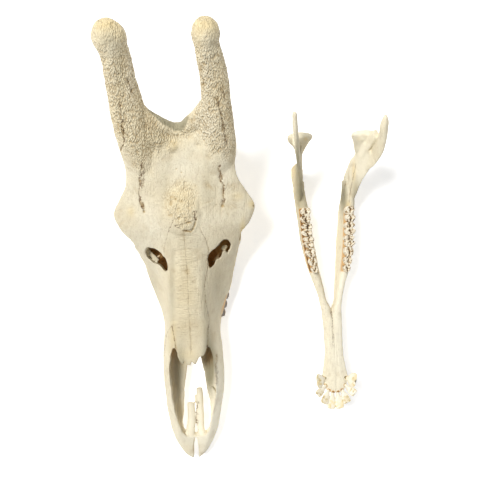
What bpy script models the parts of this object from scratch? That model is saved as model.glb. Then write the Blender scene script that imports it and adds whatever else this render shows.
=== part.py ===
"""A giraffe's skull, laid out for study: the cranium beside its lower jaw, both resting on a table.

Each bone is shaped in its own frame, in millimetres: X = 0 is the animal's midline, +Y runs from
the nose to the back of the head, and the table is at Z = 0. An empty then sets the bone in its
place on the table. Left and right are the animal's own: its left is +X.
"""

import math

import bmesh
import bpy
import numpy as np
from mathutils import Matrix, Vector

MM = 0.001

# Where each bone lies on the table: midline point, and turn about the upright axis in degrees
CRANIUM_AT = (-115.1, 54.3)
CRANIUM_TURN = 1.9
JAW_AT = (166.2, 54.3)
JAW_TURN = 2.0

# How finely the bones are fused, smoothed and faceted
CRANIUM_VOXEL = 3.2
CRANIUM_KEPT = 0.0235
JAW_VOXEL = 2.6
JAW_KEPT = 0.021
SMOOTHING = 0.5
SMOOTH_PASSES = 3
SOCKET_GAP = 0.5
SHARP_FROM = 40
SYMPHYSIS_GAP = 0.2

BONE = (0.80, 0.72, 0.55)
ENAMEL = (0.83, 0.76, 0.60)

# Neither bone grew quite straight. Distance along the bone, then how far it bends to the animal's
# left, and how much its left side lies behind its right side, per millimetre across
HEAD_BEND = [
    (-460, -5.0), (-415, -4.5), (-380, -3.3), (-345, -2.2), (-310, -0.8), (-276, -0.3), (-162, -1.0),
    (-100, 0.6), (-40, 0.4), (100, 0), (150, -2.5),
]
HEAD_SKEW = [(-60, 0), (0, 0.035), (110, 0.035), (180, 0)]
JAW_BEND = [
    (-350, -1.0), (-330, 0), (-300, 2.5), (-270, 4.2), (-220, 5.6), (-170, 5.7), (-110, 3.7), (-40, 2.0),
    (0, 0.8), (60, 0),
]
NO_SKEW = [(0, 0), (1, 0)]

# The cranium's outline in cross-section: distance along the head, then the left half of the
# section from the top of the midline, round the side, to the bottom of the midline
HEAD = [
    (233, [(0, 106), (20, 105), (34, 100), (44, 92), (47, 80), (43, 68), (32, 60), (16, 52), (0, 50)]),
    (223, [(0, 156), (30, 154), (52, 146), (65, 128), (68, 108), (60, 88), (42, 70), (20, 58), (0, 54)]),
    (212, [(0, 204), (40, 202), (68, 190), (84, 164), (82, 128), (70, 92), (46, 66), (22, 54), (0, 52)]),
    (200, [(0, 224), (42, 234), (76, 236), (94, 194), (84, 140), (72, 96), (48, 66), (22, 54), (0, 52)]),
    (178, [(0, 222), (40, 228), (80, 229), (102, 196), (82, 155), (74, 105), (52, 66), (24, 50), (0, 48)]),
    (148, [(0, 213), (40, 216), (80, 215), (100, 194), (74, 162), (66, 110), (48, 68), (24, 50), (0, 48)]),
    (112, [(0, 203), (38, 203), (78, 202), (102, 189), (70, 160), (58, 112), (44, 72), (22, 52), (0, 49)]),
    (84, [(0, 196), (38, 196), (84, 191), (118, 175), (84, 142), (60, 105), (44, 75), (22, 54), (0, 50)]),
    (58, [(0, 190), (40, 190), (92, 183), (132.5, 164), (112, 136), (96, 92), (56, 72), (26, 52), (0, 48)]),
    (28, [(0, 181), (38, 180), (82, 175), (122, 158), (112, 126), (104, 88), (66, 66), (30, 46), (0, 46)]),
    (-6, [(0, 170), (36, 165), (68, 153), (100, 135), (105, 106), (99, 76), (76, 46), (42, 40), (0, 46)]),
    (-45, [(0, 155), (33, 150), (53, 134), (73, 112), (89, 86), (92.5, 62), (80, 28), (44, 27), (0, 43)]),
    (-90, [(0, 142), (31, 138), (44, 122), (57, 101), (74, 77), (82, 55), (78, 27), (46, 26), (0, 42)]),
    (-125, [(0, 132), (30, 128), (40, 116), (49, 98), (62, 74), (70, 52), (68, 27), (42, 26), (0, 40)]),
    (-160, [(0, 124), (29, 120), (37, 110), (44, 95), (53, 74), (58.5, 52), (60, 28), (36, 28), (0, 39)]),
    (-190, [(0, 117), (28, 114), (36, 106), (43, 93), (53, 74), (58, 56), (53, 33), (28, 33), (0, 37)]),
    (-228, [(0, 110), (28, 107), (37, 99), (46, 90), (57, 73), (61, 56), (54, 33), (28, 32), (0, 35)]),
    (-260, [(0, 98), (28, 98), (42, 95), (50, 87), (59, 70), (62, 55), (54, 31), (28, 30), (0, 32)]),
    (-295, [(0, 87), (27, 89), (43, 87), (50, 80), (58, 66), (61.5, 52), (54, 30), (28, 27), (0, 28)]),
    (-330, [(0, 76), (26, 79), (41, 78), (48, 72), (55, 60), (58.5, 47), (51, 28), (26, 25), (0, 26)]),
    (-365, [(0, 65), (22, 68), (36, 68), (42, 63), (50, 52), (53.5, 42), (46, 26), (24, 22), (0, 23)]),
    (-400, [(0, 52), (18, 55), (30, 56), (35, 53), (42, 45), (46, 38), (38, 24), (20, 19), (0, 19)]),
    (-425, [(0, 44), (14, 46), (24, 47), (28, 44), (33, 39), (35.5, 33), (28, 23), (14, 19), (0, 19)]),
    (-442, [(0, 38), (10, 40), (18, 40), (21, 38), (24.5, 34), (25.5, 30), (20, 23), (10, 20), (0, 20)]),
    (-453, [(0, 33), (6, 35), (11, 35), (13, 33), (15.5, 31), (16, 29), (13, 25), (7, 23), (0, 23)]),
    (-458.5, [(0, 30), (3, 31), (5, 31), (7, 30), (8, 29), (8, 28), (7, 27), (4, 26), (0, 26)]),
]

# The nasal cavity, in the same form
CAVITY = [
    (8, [(0, 132), (12, 130), (22, 120), (26, 105), (24, 85), (14, 72), (0, 70)]),
    (-40, [(0, 145), (25, 141), (38, 124), (52, 98), (58, 74), (36, 54), (0, 54)]),
    (-90, [(0, 134), (25, 130), (35, 115), (48, 88), (56, 64), (34, 50), (0, 50)]),
    (-160, [(0, 117), (23, 114), (30, 104), (37, 84), (43, 64), (30, 47), (0, 47)]),
    (-210, [(0, 108), (23, 104), (31, 95), (38, 82), (46, 62), (34, 44), (0, 44)]),
    (-250, [(0, 94), (24, 93), (36, 88), (44, 76), (51, 58), (40, 40), (0, 40)]),
    (-290, [(0, 82), (24, 82), (37, 79), (44, 70), (52, 54), (40, 37), (0, 37)]),
    (-330, [(0, 72), (24, 72), (36, 69), (42, 60), (48, 48), (38, 35), (0, 35)]),
    (-370, [(0, 58), (20, 59), (30, 58), (36, 51), (41, 42), (31, 32), (0, 32)]),
    (-403, [(0, 47), (14, 47), (22, 47), (26, 43), (29, 37), (20, 30), (0, 30)]),
]

# Seen from above: the nose's opening, whose back edge is the ragged tips of the nasal bones
NOSE_OPENING = [
    (-34, -214), (-29, -221), (-27, -230), (-19, -246), (-14, -238), (-10, -247), (-3, -248), (0, -240),
    (6, -248), (11, -240), (16, -231), (22, -230), (28, -223), (33, -213), (39, -226), (43, -255),
    (45, -286), (43, -318), (36, -352), (28, -385), (20, -402), (8, -407), (-14, -407), (-25, -402),
    (-32, -385), (-39, -352), (-44, -318), (-46, -286), (-46, -255), (-42, -227),
]
# The open slot in the palate between the premaxillae, and the gap between their tips
PALATE_SLOT = [
    (2, -232), (12, -242), (17, -265), (20, -282), (23, -310), (29, -335), (30, -352), (29, -380),
    (24, -398), (10, -406), (-12, -406), (-26, -400), (-30, -384), (-27, -362), (-25, -325),
    (-22, -298), (-16, -262), (-10, -242),
]
TIP_GAP = [(-1, -408), (1, -417), (1.5, -434), (0.5, -470), (-7, -470), (-8, -434), (-5.5, -417), (-3, -408)]
# The gaps where thin bone is lost in front of the orbits
LEFT_VACUITY = [
    (40, -46), (42, -30), (50, -21), (60, -14), (66, -6), (74, -1), (85, -7), (83, -20), (77, -28),
    (74, -22), (68, -27), (64, -36), (56, -40), (50, -50), (44, -56),
]
RIGHT_VACUITY = [
    (-75, -11), (-61, -14), (-50, -21), (-44, -29), (-39, -37), (-38, -57), (-45, -58), (-53, -48),
    (-60, -44), (-72, -38), (-79, -26),
]

# Rods and bars that follow a path: x, y, z, half-width across, half-thickness
LEFT_OSSICONE = [
    (60, 128, 176, 28, 30), (66, 165, 206, 35, 33), (70, 200, 236, 30, 29), (70, 238, 266, 25.5, 25),
    (69, 266, 288, 24, 24), (64.5, 292, 311, 22.5, 23), (60.5, 311, 329, 20.5, 21), (60, 322, 340, 23, 23),
    (60, 333, 349, 20, 20), (60, 340, 356, 12, 12),
]
RIGHT_OSSICONE = [
    (-62, 124, 172, 26, 28), (-72, 160, 202, 32, 32), (-80, 200, 236, 32, 30), (-83.5, 238, 266, 29, 26),
    (-86, 266, 288, 26.5, 24), (-87, 292, 311, 25, 23), (-89, 309, 328, 24.5, 23), (-92.5, 322, 341, 28, 25),
    (-94.5, 333, 350, 23, 22), (-95, 341, 358, 13, 13),
]
# The saddle of bone between the ossicones
SADDLE = [
    (-84, 236, 262, 24, 22), (-62, 216, 242, 20, 20), (-40, 205, 228, 18, 20), (-18, 199, 217, 15, 16),
    (-5, 196, 213, 15, 15), (10, 198, 215, 15, 15), (28, 206, 227, 17, 19), (48, 218, 242, 19, 20),
    (70, 236, 260, 22, 22),
]
# The slope that carries the forehead up to the saddle
SADDLE_SLOPE = [
    (-68, 204, 236, 26, 22), (-42, 190, 220, 24, 19), (-20, 183, 209, 22, 16), (0, 180, 206, 20, 14),
    (20, 182, 209, 22, 16), (44, 193, 222, 24, 19), (66, 206, 238, 26, 22),
]
ZYGOMATIC_ARCH = [
    (90, -30, 88, 7, 16), (98, -5, 86, 6, 13), (103, 25, 83, 5, 10), (102, 60, 84, 5, 9),
    (96, 100, 87, 4.5, 8), (91, 140, 92, 5, 8), (78, 168, 98, 8, 9), (62, 178, 100, 8, 9),
]
POSTORBITAL_BAR = [(117, 68, 160, 6, 12), (118, 70, 140, 5, 9), (112, 70, 115, 4.5, 8), (104, 68, 84, 4.5, 9)]
MASTOID_CREST = [
    (70, 204, 204, 8, 8), (83, 203, 178, 7, 7), (85, 202, 145, 6, 8), (77, 204, 112, 6, 9), (67, 207, 90, 8, 12),
]
PAROCCIPITAL = [
    (66, 206, 92, 9, 16), (62, 208, 62, 7, 15), (56, 206, 34, 5.5, 12), (52, 203, 12, 4.5, 9),
    (51, 202, 0.4, 3.5, 6),
]
EAR_TUBE = [(58, 176, 86, 11, 11), (74, 180, 88, 10, 10), (86, 183, 90, 9, 9)]
PTERYGOID_PLATE = [(38, -28, 36, 5, 12), (29, 0, 36, 4.5, 15), (26, 35, 40, 4, 13), (26, 70, 48, 4, 8)]
LEFT_ROD = [
    (8, -309, 38, 7, 6), (8, -350, 37, 7.5, 6), (8.5, -395, 36, 8, 6.5), (12, -412, 39, 10, 8),
    (15, -424, 39, 10, 8),
]
RIGHT_ROD = [
    (-11, -340, 37, 7.5, 5.5), (-11, -375, 36, 8.5, 6), (-13, -396, 37, 9.5, 6.5), (-17, -412, 39, 11, 8),
    (-18, -424, 39, 10, 8),
]

# Rounded lumps: centre, then half-sizes
MEDIAN_HORN = [((-3, 64, 166), (50, 60, 42)), ((-1, 38, 170), (32, 28, 30)), ((-4, 98, 174), (30, 32, 30))]
FRONTAL_KNOB = ((-14, 169, 214), (13, 13, 12))
CONDYLE = ((26, 224, 60), (15, 17, 24))
BASIOCCIPITAL = ((0, 190, 52), (24, 50, 14))
OCCIPITAL_KNOB = ((0, 203, 188), (13, 11, 15))
BULLA = ((37, 172, 50), (13, 21, 18))

# Hollows: centre, then half-sizes
ORBIT = ((113, 27, 119), (54, 36, 33))
CHOANAE = ((0, 2, 52), (19, 38, 34))
FORAMEN_MAGNUM = ((0, 238, 88), (18, 60, 16))

# Upper cheek teeth, front to back: length along the row, width, and how far from the midline the
# root and the crown are
UPPER_TEETH = [
    ("premolar_1", 18, 18, 53, 59.5), ("premolar_2", 19, 21, 57, 62), ("premolar_3", 20, 24, 61, 65),
    ("molar_1", 24, 27, 64.5, 66.5), ("molar_2", 27, 28, 65, 66), ("molar_3", 27, 26, 62.5, 62.5),
]
UPPER_ROW_FRONT = -166
UPPER_CROWN = 0
UPPER_NECK = 25
UPPER_ROOT = 37

# The lower jaw's left half. Body: y, x of the middle, half-width, lowest z, highest z, and how far
# its top leans out
JAW_BODY = [
    (124, 51, 9, 4, 64, 0), (105, 51.5, 11, 2, 73, 0), (85, 49, 11.5, 1.5, 77, 1), (62, 46, 12.5, 1, 76, 2),
    (28, 42.5, 13, 2, 75, 2), (-5, 39, 13.5, 4, 74, 3), (-38, 34, 12.5, 9, 74, 3), (-60, 30, 11.5, 15, 73, 3),
    (-80, 25, 10, 22, 70, 2), (-108, 18.5, 8, 31, 70, 1), (-125, 15.2, 7.8, 36, 71, 0.5),
    (-150, 8.5, 11.8, 44, 73, 0), (-185, 4.5, 14.5, 50, 77, 0), (-225, 2.5, 16.3, 58, 81, 0),
    (-253, 3, 19, 64, 85, 0), (-276, 4, 22, 70, 90, 0), (-294, 3, 19, 76, 93, 0), (-305, 0, 13.5, 82, 94, 0),
]
# Ramus: z, then y and x of its front edge, y and x of its back edge, half-thickness
RAMUS = [
    (0.5, 98, 49, 140, 57, 5), (6, 86, 48, 150, 59, 7), (22, 80, 49, 157, 59.5, 7.5), (48, 74, 51, 159, 57.5, 7.5),
    (80, 82, 54.5, 161, 53, 6.2), (110, 108, 59, 168, 55, 4.8), (140, 131, 67, 180, 56, 4.4),
    (164, 146, 74, 190, 58, 4.5),
]
# How far out its front edge leans at the top, on the left and on the right
RAMUS_LEAN = {1: 9, -1: -10}
# The coronoid process on the left and on the right, and the condyle, as paths
CORONOID = {
    1: [
        (69, 147, 130, 4, 18), (77.5, 158, 165, 4, 22), (83, 171, 198, 5, 20), (82.5, 184, 222, 6, 17),
        (80.5, 195, 240, 6.5, 13), (80, 203, 252, 5.5, 10), (79, 209, 260, 3, 6),
    ],
    -1: [
        (59, 144, 140, 4, 16), (64, 158, 170, 4, 20), (68, 171, 200, 4, 18), (72, 186, 225, 4, 14),
        (75, 199, 243, 4.5, 10), (76.5, 210, 254, 4.4, 8), (77.5, 220, 263, 3.4, 5),
    ],
}
# The web of bone between the coronoid process and the condyle
NOTCH_WEB = {
    1: [(60, 168, 132, 5, 16), (67, 178, 158, 6, 15), (73, 186, 180, 6, 12), (77, 191, 196, 5, 9)],
    -1: [(60, 168, 132, 4, 16), (66, 179, 158, 4, 15), (71, 187, 180, 3.6, 12)],
}
CONDYLE_NECK = [
    (57, 172, 122, 6, 12), (58, 183, 146, 14, 9), (59.5, 190, 161, 21.5, 9.5), (59.5, 194, 170, 23.5, 9.5),
    (59.5, 195, 176, 22, 7), (59.5, 195, 180, 15, 4),
]

# Lower cheek teeth, back to front: length along the row, width
LOWER_TEETH = [
    ("molar_3", 32, 20.5), ("molar_2", 26, 22), ("molar_1", 23, 22),
    ("premolar_3", 20, 20), ("premolar_2", 17, 17.5), ("premolar_1", 14, 14.5),
]
LOWER_ROW_BACK = 67
LOWER_CROWN = 92
LOWER_NECK = 76
LOWER_ROOT = 64
# Middle line of the lower row: y, x
LOWER_ROW = [(80, 46.5), (66, 45.5), (28, 43.5), (-5, 41), (-38, 36.5), (-58, 32.5), (-70, 30)]

# Front teeth: x and y where the crown leaves the bone, x and y of its tip, width of the crown
FRONT_TEETH = [
    ("incisor_1", (4.2, -300), (9.0, -334), 15.5),
    ("incisor_2", (11.8, -297), (23.2, -323.5), 14.5),
    ("incisor_3", (17.5, -289.5), (37, -306.5), 14),
    ("canine", (21, -277), (39, -281), 27),
]
FRONT_ROOT_Z = 85
FRONT_TIP_Z = 102


def clear_scene():
    for item in list(bpy.data.objects):
        bpy.data.objects.remove(item)


def collection(name):
    made = bpy.data.collections.new(name)
    bpy.context.scene.collection.children.link(made)
    return made


def material(name, colour, roughness):
    made = bpy.data.materials.new(name)
    made.use_nodes = True
    shader = made.node_tree.nodes["Principled BSDF"]
    shader.inputs["Base Color"].default_value = (*colour, 1.0)
    shader.inputs["Roughness"].default_value = roughness
    return made


def span(before, start, end, after, t):
    """Catmull-Rom curve between start and end."""
    slope = end - before
    bend = 2 * before - 5 * start + 4 * end - after
    twist = 3 * start - before - 3 * end + after
    return 0.5 * (2 * start + slope * t + bend * t**2 + twist * t**3)


def curve_through(rows, steps):
    """An open smooth curve through rows, with that many steps from one row to the next."""
    rows = np.asarray(rows, float)
    ends = np.concatenate([2 * rows[:1] - rows[1:2], rows, 2 * rows[-1:] - rows[-2:-1]])
    t = (np.arange(steps) / steps).reshape(-1, *[1] * (rows.ndim - 1))
    spans = [span(*ends[i:i + 4], t) for i in range(len(rows) - 1)]
    return np.concatenate([*spans, rows[-1:]])


def loop_through(points, steps):
    """A closed smooth curve through points."""
    t = (np.arange(steps) / steps)[:, None]
    around = [np.roll(points, -i, axis=0) for i in (-1, 0, 1, 2)]
    return np.concatenate([span(*(ring[i] for ring in around), t) for i in range(len(points))])


def add_object(name, mesh):
    """An object of a bmesh, which is then freed."""
    data = bpy.data.meshes.new(name)
    mesh.to_mesh(data)
    mesh.free()
    data.shade_smooth()
    data.set_sharp_from_angle(angle=math.radians(SHARP_FROM))
    made = bpy.data.objects.new(name, data)
    bpy.context.scene.collection.objects.link(made)
    return made


def skin(name, rings):
    """A closed skin over rings of equal count, flat at both ends."""
    mesh = bmesh.new()
    loops = [[mesh.verts.new(point) for point in ring * MM] for ring in np.asarray(rings, float)]
    for near, far in zip(loops, loops[1:]):
        for i in range(len(near)):
            j = (i + 1) % len(near)
            mesh.faces.new((near[i], near[j], far[j], far[i]))
    mesh.faces.new(loops[0][::-1])
    mesh.faces.new(loops[-1])
    bmesh.ops.recalc_face_normals(mesh, faces=mesh.faces)
    return add_object(name, mesh)


def loft(name, stations, along, around):
    """A skin over half-sections, each mirrored in the midline and rounded."""
    rows = [[(x, y, z) for x, z in half] for y, half in stations]
    rings = []
    for half in curve_through(rows, along):
        other = half[-2:0:-1] * (-1, 1, 1)
        rings.append(loop_through(np.concatenate([half, other]), around))
    return skin(name, rings)


def sweep(name, path, across, steps=4, sides=16):
    """A bar along a path of x, y, z, half-width along the across direction, half-thickness."""
    rows = curve_through(path, steps)
    points, wide, thick = rows[:, :3], rows[:, 3:4], rows[:, 4:5]
    along = np.gradient(points, axis=0)
    along /= np.linalg.norm(along, axis=1, keepdims=True)
    side = across - along * (along @ np.asarray(across, float))[:, None]
    side /= np.linalg.norm(side, axis=1, keepdims=True)
    up = np.cross(along, side)
    turn = np.linspace(0, 2 * math.pi, sides, endpoint=False)
    return skin(name, [
        p + np.outer(np.cos(turn), a * s) + np.outer(np.sin(turn), b * u)
        for p, a, b, s, u in zip(points, wide, thick, side, up)
    ])


def flipped(path, side):
    """The path on the animal's left for side 1, on its right for side -1."""
    return [(side * row[0], *row[1:]) for row in path]


def ball(name, centre, half_sizes, side=1):
    mesh = bmesh.new()
    place = Matrix.Translation(Vector((side * centre[0], *centre[1:])) * MM)
    size = Matrix.Diagonal((*(r * MM for r in half_sizes), 1))
    bmesh.ops.create_uvsphere(mesh, u_segments=28, v_segments=16, radius=1, matrix=place @ size)
    return add_object(name, mesh)


def prism(name, outline, low, high):
    """An upright prism over an outline seen from above."""
    return skin(name, [[(x, y, z) for x, y in outline] for z in (low, high)])


def grow_askew(pieces, bend, skew):
    """Bends the pieces the way the bone grew."""
    for piece in pieces:
        spots = np.empty(3 * len(piece.data.vertices), np.float32)
        piece.data.vertices.foreach_get("co", spots)
        spots = spots.reshape(-1, 3)
        x, y = spots[:, 0].copy(), spots[:, 1] / MM
        spots[:, 0] = x + MM * np.interp(y, *zip(*bend))
        spots[:, 1] += x * np.interp(y, *zip(*skew))
        piece.data.vertices.foreach_set("co", spots.ravel())
    return pieces


def freeze(body):
    """The modifiers of body become its mesh."""
    graph = bpy.context.evaluated_depsgraph_get()
    body.data = bpy.data.meshes.new_from_object(body.evaluated_get(graph))
    body.modifiers.clear()


def discard(pieces):
    for piece in pieces:
        bpy.data.objects.remove(piece)


def carve(body, cutters):
    """Takes the cutters out of body, one after another."""
    for cutter in cutters:
        cut = body.modifiers.new(cutter.name, "BOOLEAN")
        cut.operation = "DIFFERENCE"
        cut.object = cutter
        freeze(body)
    discard(cutters)


def join(name, pieces):
    """One object of all the pieces' meshes, which may overlap."""
    mesh = bmesh.new()
    for piece in pieces:
        mesh.from_mesh(piece.data)
    discard(pieces)
    return add_object(name, mesh)


def fuse(body, voxel, kept):
    """Melts body's overlapping forms into one smooth, faceted bone."""
    melt = body.modifiers.new("melt", "REMESH")
    melt.mode = "VOXEL"
    melt.voxel_size = voxel * MM
    melt.use_smooth_shade = True
    smooth = body.modifiers.new("smooth", "SMOOTH")
    smooth.factor = SMOOTHING
    smooth.iterations = SMOOTH_PASSES
    facets = body.modifiers.new("facets", "DECIMATE")
    facets.ratio = kept


def cut_sockets(body, cutters):
    """Sockets stay as a modifier, with their cutters in a collection of their own."""
    holder = collection(body.name + "_cutters")
    for cutter in cutters:
        bpy.context.scene.collection.objects.unlink(cutter)
        holder.objects.link(cutter)
        cutter.parent = body.parent
        cutter.hide_render = True
        cutter.display_type = "WIRE"
    cut = body.modifiers.new("sockets", "BOOLEAN")
    cut.operation = "DIFFERENCE"
    cut.operand_type = "COLLECTION"
    cut.collection = holder


def paired(make, label, shape, *rest):
    """A form on the animal's left and its mirror image on the right."""
    if make is ball:
        return [ball(label, *shape, side) for side in (1, -1)]
    return [make(label, flipped(shape, side), *rest) for side in (1, -1)]


def build_cranium():
    sideways, lengthways = (1, 0, 0), (0, 1, 0)
    shell = loft("shell", HEAD, along=5, around=4)
    hollows = [
        loft("nasal_cavity", CAVITY, along=4, around=3),
        ball("choanae", *CHOANAE),
        ball("foramen_magnum", *FORAMEN_MAGNUM),
        *paired(ball, "orbit", ORBIT),
    ]
    forms = [
        ball("basioccipital", *BASIOCCIPITAL),
        ball("occipital_knob", *OCCIPITAL_KNOB),
        *paired(sweep, "arch", ZYGOMATIC_ARCH, sideways),
        *paired(sweep, "bar", POSTORBITAL_BAR, sideways),
        *paired(sweep, "mastoid_crest", MASTOID_CREST, lengthways),
        *paired(sweep, "paroccipital", PAROCCIPITAL, sideways),
        *paired(sweep, "ear_tube", EAR_TUBE, lengthways),
        *paired(sweep, "pterygoid", PTERYGOID_PLATE, sideways),
        *paired(ball, "condyle", CONDYLE),
        *paired(ball, "bulla", BULLA),
    ]
    grow_askew([shell, *hollows, *forms], HEAD_BEND, HEAD_SKEW)
    hollows += [
        prism("nose_opening", NOSE_OPENING, 45, 150),
        prism("palate_slot", PALATE_SLOT, -5, 60),
        prism("tip_gap", TIP_GAP, -5, 60),
        prism("left_vacuity", LEFT_VACUITY, 78, 190),
        prism("right_vacuity", RIGHT_VACUITY, 78, 190),
    ]
    carve(shell, hollows)
    forms += [
        shell,
        sweep("ossicone", LEFT_OSSICONE, sideways, sides=20),
        sweep("ossicone", RIGHT_OSSICONE, sideways, sides=20),
        sweep("saddle", SADDLE, lengthways),
        sweep("slope", SADDLE_SLOPE, lengthways),
        sweep("rod", LEFT_ROD, sideways),
        sweep("rod", RIGHT_ROD, sideways),
        ball("frontal_knob", *FRONTAL_KNOB),
        *(ball("median_horn", *lump) for lump in MEDIAN_HORN),
    ]
    bone = join("cranium", forms)
    fuse(bone, CRANIUM_VOXEL, CRANIUM_KEPT)
    return bone


def tooth_outline(length, width):
    """A cheek tooth seen from its crown: rounded, and pinched between its two lobes."""
    turn = np.linspace(0, 2 * math.pi, 8, endpoint=False)
    pinch = 1 - 0.08 * np.cos(4 * turn)
    x = 0.5 * width * np.sign(np.cos(turn)) * np.abs(np.cos(turn)) ** 0.6 * pinch
    y = 0.5 * length * np.sign(np.sin(turn)) * np.abs(np.sin(turn)) ** 0.6
    return np.stack([x, y], axis=1)


def cheek_tooth(name, root_at, crown_at, size, heights, turn=0.0, grown=0.0):
    """A cheek tooth from its root to its worn crown, which has a valley in it.

    heights are the z of the root's end, the neck and the crown. A grown tooth is its own cutter:
    larger all round, with no valley, and long enough to pass out of the bone.
    """
    root, neck, crown = heights
    up = 1 if crown > root else -1
    outline = tooth_outline(size[0] + 2 * grown, size[1] + 2 * grown)
    levels = [(root - up * grown, 0.62), (neck - up * grown, 0.86), (neck + up * 5, 1.0), (crown, 0.94)]
    if grown:
        levels[-1] = (crown + up * 40, 1.0)
    else:
        levels += [(crown, 0.62), (crown - up * 4, 0.22)]
    c, s = math.cos(turn), math.sin(turn)
    spin = np.array([[c, s], [-s, c]])
    rings = []
    for z, share in levels:
        out = (z - neck) / (crown - neck)
        centre = np.array(root_at) + max(out, 0) * np.subtract(crown_at, root_at)
        rings.append(np.column_stack([outline * share @ spin + centre, np.full(len(outline), z)]))
    return skin(name, rings)


def upper_teeth():
    """Six cheek teeth on each side, and the cutters of their sockets."""
    teeth, cutters = [], []
    y = UPPER_ROW_FRONT
    for label, length, width, root_x, crown_x in UPPER_TEETH:
        middle = y + length / 2
        y += length
        for side, hand in ((1, "left"), (-1, "right")):
            shape = [
                (side * root_x, middle), (side * crown_x, middle), (length - 1.4, width),
                (UPPER_ROOT, UPPER_NECK, UPPER_CROWN),
            ]
            teeth.append(cheek_tooth(f"upper_{hand}_{label}", *shape))
            cutters.append(cheek_tooth("socket", *shape, grown=SOCKET_GAP))
    return teeth, cutters


def jaw_body():
    """The jaw's body from the last tooth to the chin, as rounded rectangles."""
    turn = np.linspace(0, 2 * math.pi, 20, endpoint=False)
    across = np.sign(np.cos(turn)) * np.abs(np.cos(turn)) ** 0.75
    upward = np.sign(np.sin(turn)) * np.abs(np.sin(turn)) ** 0.75
    rings = []
    for y, x, half, low, high, lean in curve_through(JAW_BODY, 4):
        middle, tall = (low + high) / 2, (high - low) / 2
        rings.append(np.column_stack([
            x + half * across + lean * upward, np.full(len(turn), y), middle + tall * upward,
        ]))
    return skin("body", rings)


def ramus(lean):
    """The upright blade behind the teeth, as flat ovals stacked upwards."""
    low, high = RAMUS[4][0], RAMUS[-1][0]
    turn = np.linspace(0, 2 * math.pi, 24, endpoint=False)
    rings = []
    for z, front, front_x, back, back_x, half in curve_through(RAMUS, 4):
        along = (front + back) / 2 + (back - front) / 2 * np.cos(turn)
        front_x += lean * max(0, (z - low) / (high - low))
        middle = (front_x + back_x) / 2 + (back_x - front_x) / 2 * np.cos(turn)
        across = middle + half * np.sign(np.sin(turn)) * np.abs(np.sin(turn)) ** 0.7
        rings.append(np.column_stack([across, along, np.full(len(turn), z)]))
    return skin("ramus", rings)


def lower_row_x(y):
    ys, xs = zip(*sorted(LOWER_ROW))
    return float(np.interp(y, ys, xs))


def lower_teeth(side, hand):
    teeth, cutters = [], []
    y = LOWER_ROW_BACK
    for label, length, width in LOWER_TEETH:
        middle = y - length / 2
        lean = math.atan2(lower_row_x(y) - lower_row_x(y - length), length)
        place = (side * lower_row_x(middle), middle)
        shape = [place, place, (length - 1.4, width), (LOWER_ROOT, LOWER_NECK, LOWER_CROWN), side * lean]
        teeth.append(cheek_tooth(f"lower_{hand}_{label}", *shape))
        cutters.append(cheek_tooth("socket", *shape, grown=SOCKET_GAP))
        y -= length
    return teeth, cutters


def front_tooth(name, base, tip, width, side, grown=0.0):
    """A spade-shaped front tooth: a thin root in the bone, a neck, and a broad thin crown."""
    start = np.array([side * base[0], base[1], FRONT_ROOT_Z + 3])
    end = np.array([side * tip[0], tip[1], FRONT_TIP_Z])
    reach = end - start
    across = np.cross(reach, (0, 0, 1))
    shares = [
        (-0.45, 2.0, 2.0), (0.0, 3.0, 2.8), (0.3, 3.6, 3.2), (0.55, 0.4 * width, 3.4),
        (0.85, 0.5 * width, 2.6), (1.0, 0.45 * width, 1.2),
    ]
    path = [(*(start + share * reach), wide + grown, thick + grown) for share, wide, thick in shares]
    return sweep(name, path, across, steps=1, sides=8)


def front_teeth(side, hand):
    teeth, cutters = [], []
    for label, base, tip, width in FRONT_TEETH:
        teeth.append(front_tooth(f"lower_{hand}_{label}", base, tip, width, side))
        cutters.append(front_tooth("socket", base, tip, width, side, SOCKET_GAP))
    return teeth, cutters


def mirrored(body, side):
    """The body on the animal's left for side 1, mirrored to its right for side -1."""
    if side < 0:
        body.data.transform(Matrix.Diagonal((-1, 1, 1, 1)))
        body.data.flip_normals()
    return body


def build_jaw(side, hand):
    """One half of the jaw, its teeth, and the cutters of their sockets and of the chin's seam."""
    sideways = (1, 0, 0)
    forms = [
        jaw_body(),
        ramus(RAMUS_LEAN[side]),
        sweep("coronoid", CORONOID[side], sideways),
        sweep("condyle", CONDYLE_NECK, sideways),
        sweep("notch_web", NOTCH_WEB[side], sideways),
    ]
    bone = mirrored(join(f"lower_jaw_{hand}", forms), side)
    seam = [(SYMPHYSIS_GAP, y) for y, bend in JAW_BEND if y <= 0]
    other_side = mirrored(prism("other_side", [*seam, (-60, 0), (-60, -350)], 0, 200), side)
    cheek, cheek_sockets = lower_teeth(side, hand)
    front, front_sockets = front_teeth(side, hand)
    teeth, cutters = [*cheek, *front], [other_side, *cheek_sockets, *front_sockets]
    grow_askew([bone, *teeth, *cutters], JAW_BEND, NO_SKEW)
    fuse(bone, JAW_VOXEL, JAW_KEPT)
    return bone, teeth, cutters


def set_down(name, at, turn, pieces):
    """Parents the pieces to an empty that places them on the table."""
    frame = bpy.data.objects.new(name, None)
    bpy.context.scene.collection.objects.link(frame)
    frame.location = Vector((*at, 0)) * MM
    frame.rotation_euler.z = math.radians(turn)
    for piece in pieces:
        piece.parent = frame
    return frame


def finish(part, pieces, skins):
    """Files the pieces under the object's collection, each with its own material."""
    for piece in pieces:
        bpy.context.scene.collection.objects.unlink(piece)
        part.objects.link(piece)
        enamel = "molar" in piece.name or "incisor" in piece.name or "canine" in piece.name
        piece.data.materials.clear()
        piece.data.materials.append(skins["enamel" if enamel else "bone"])


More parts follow.
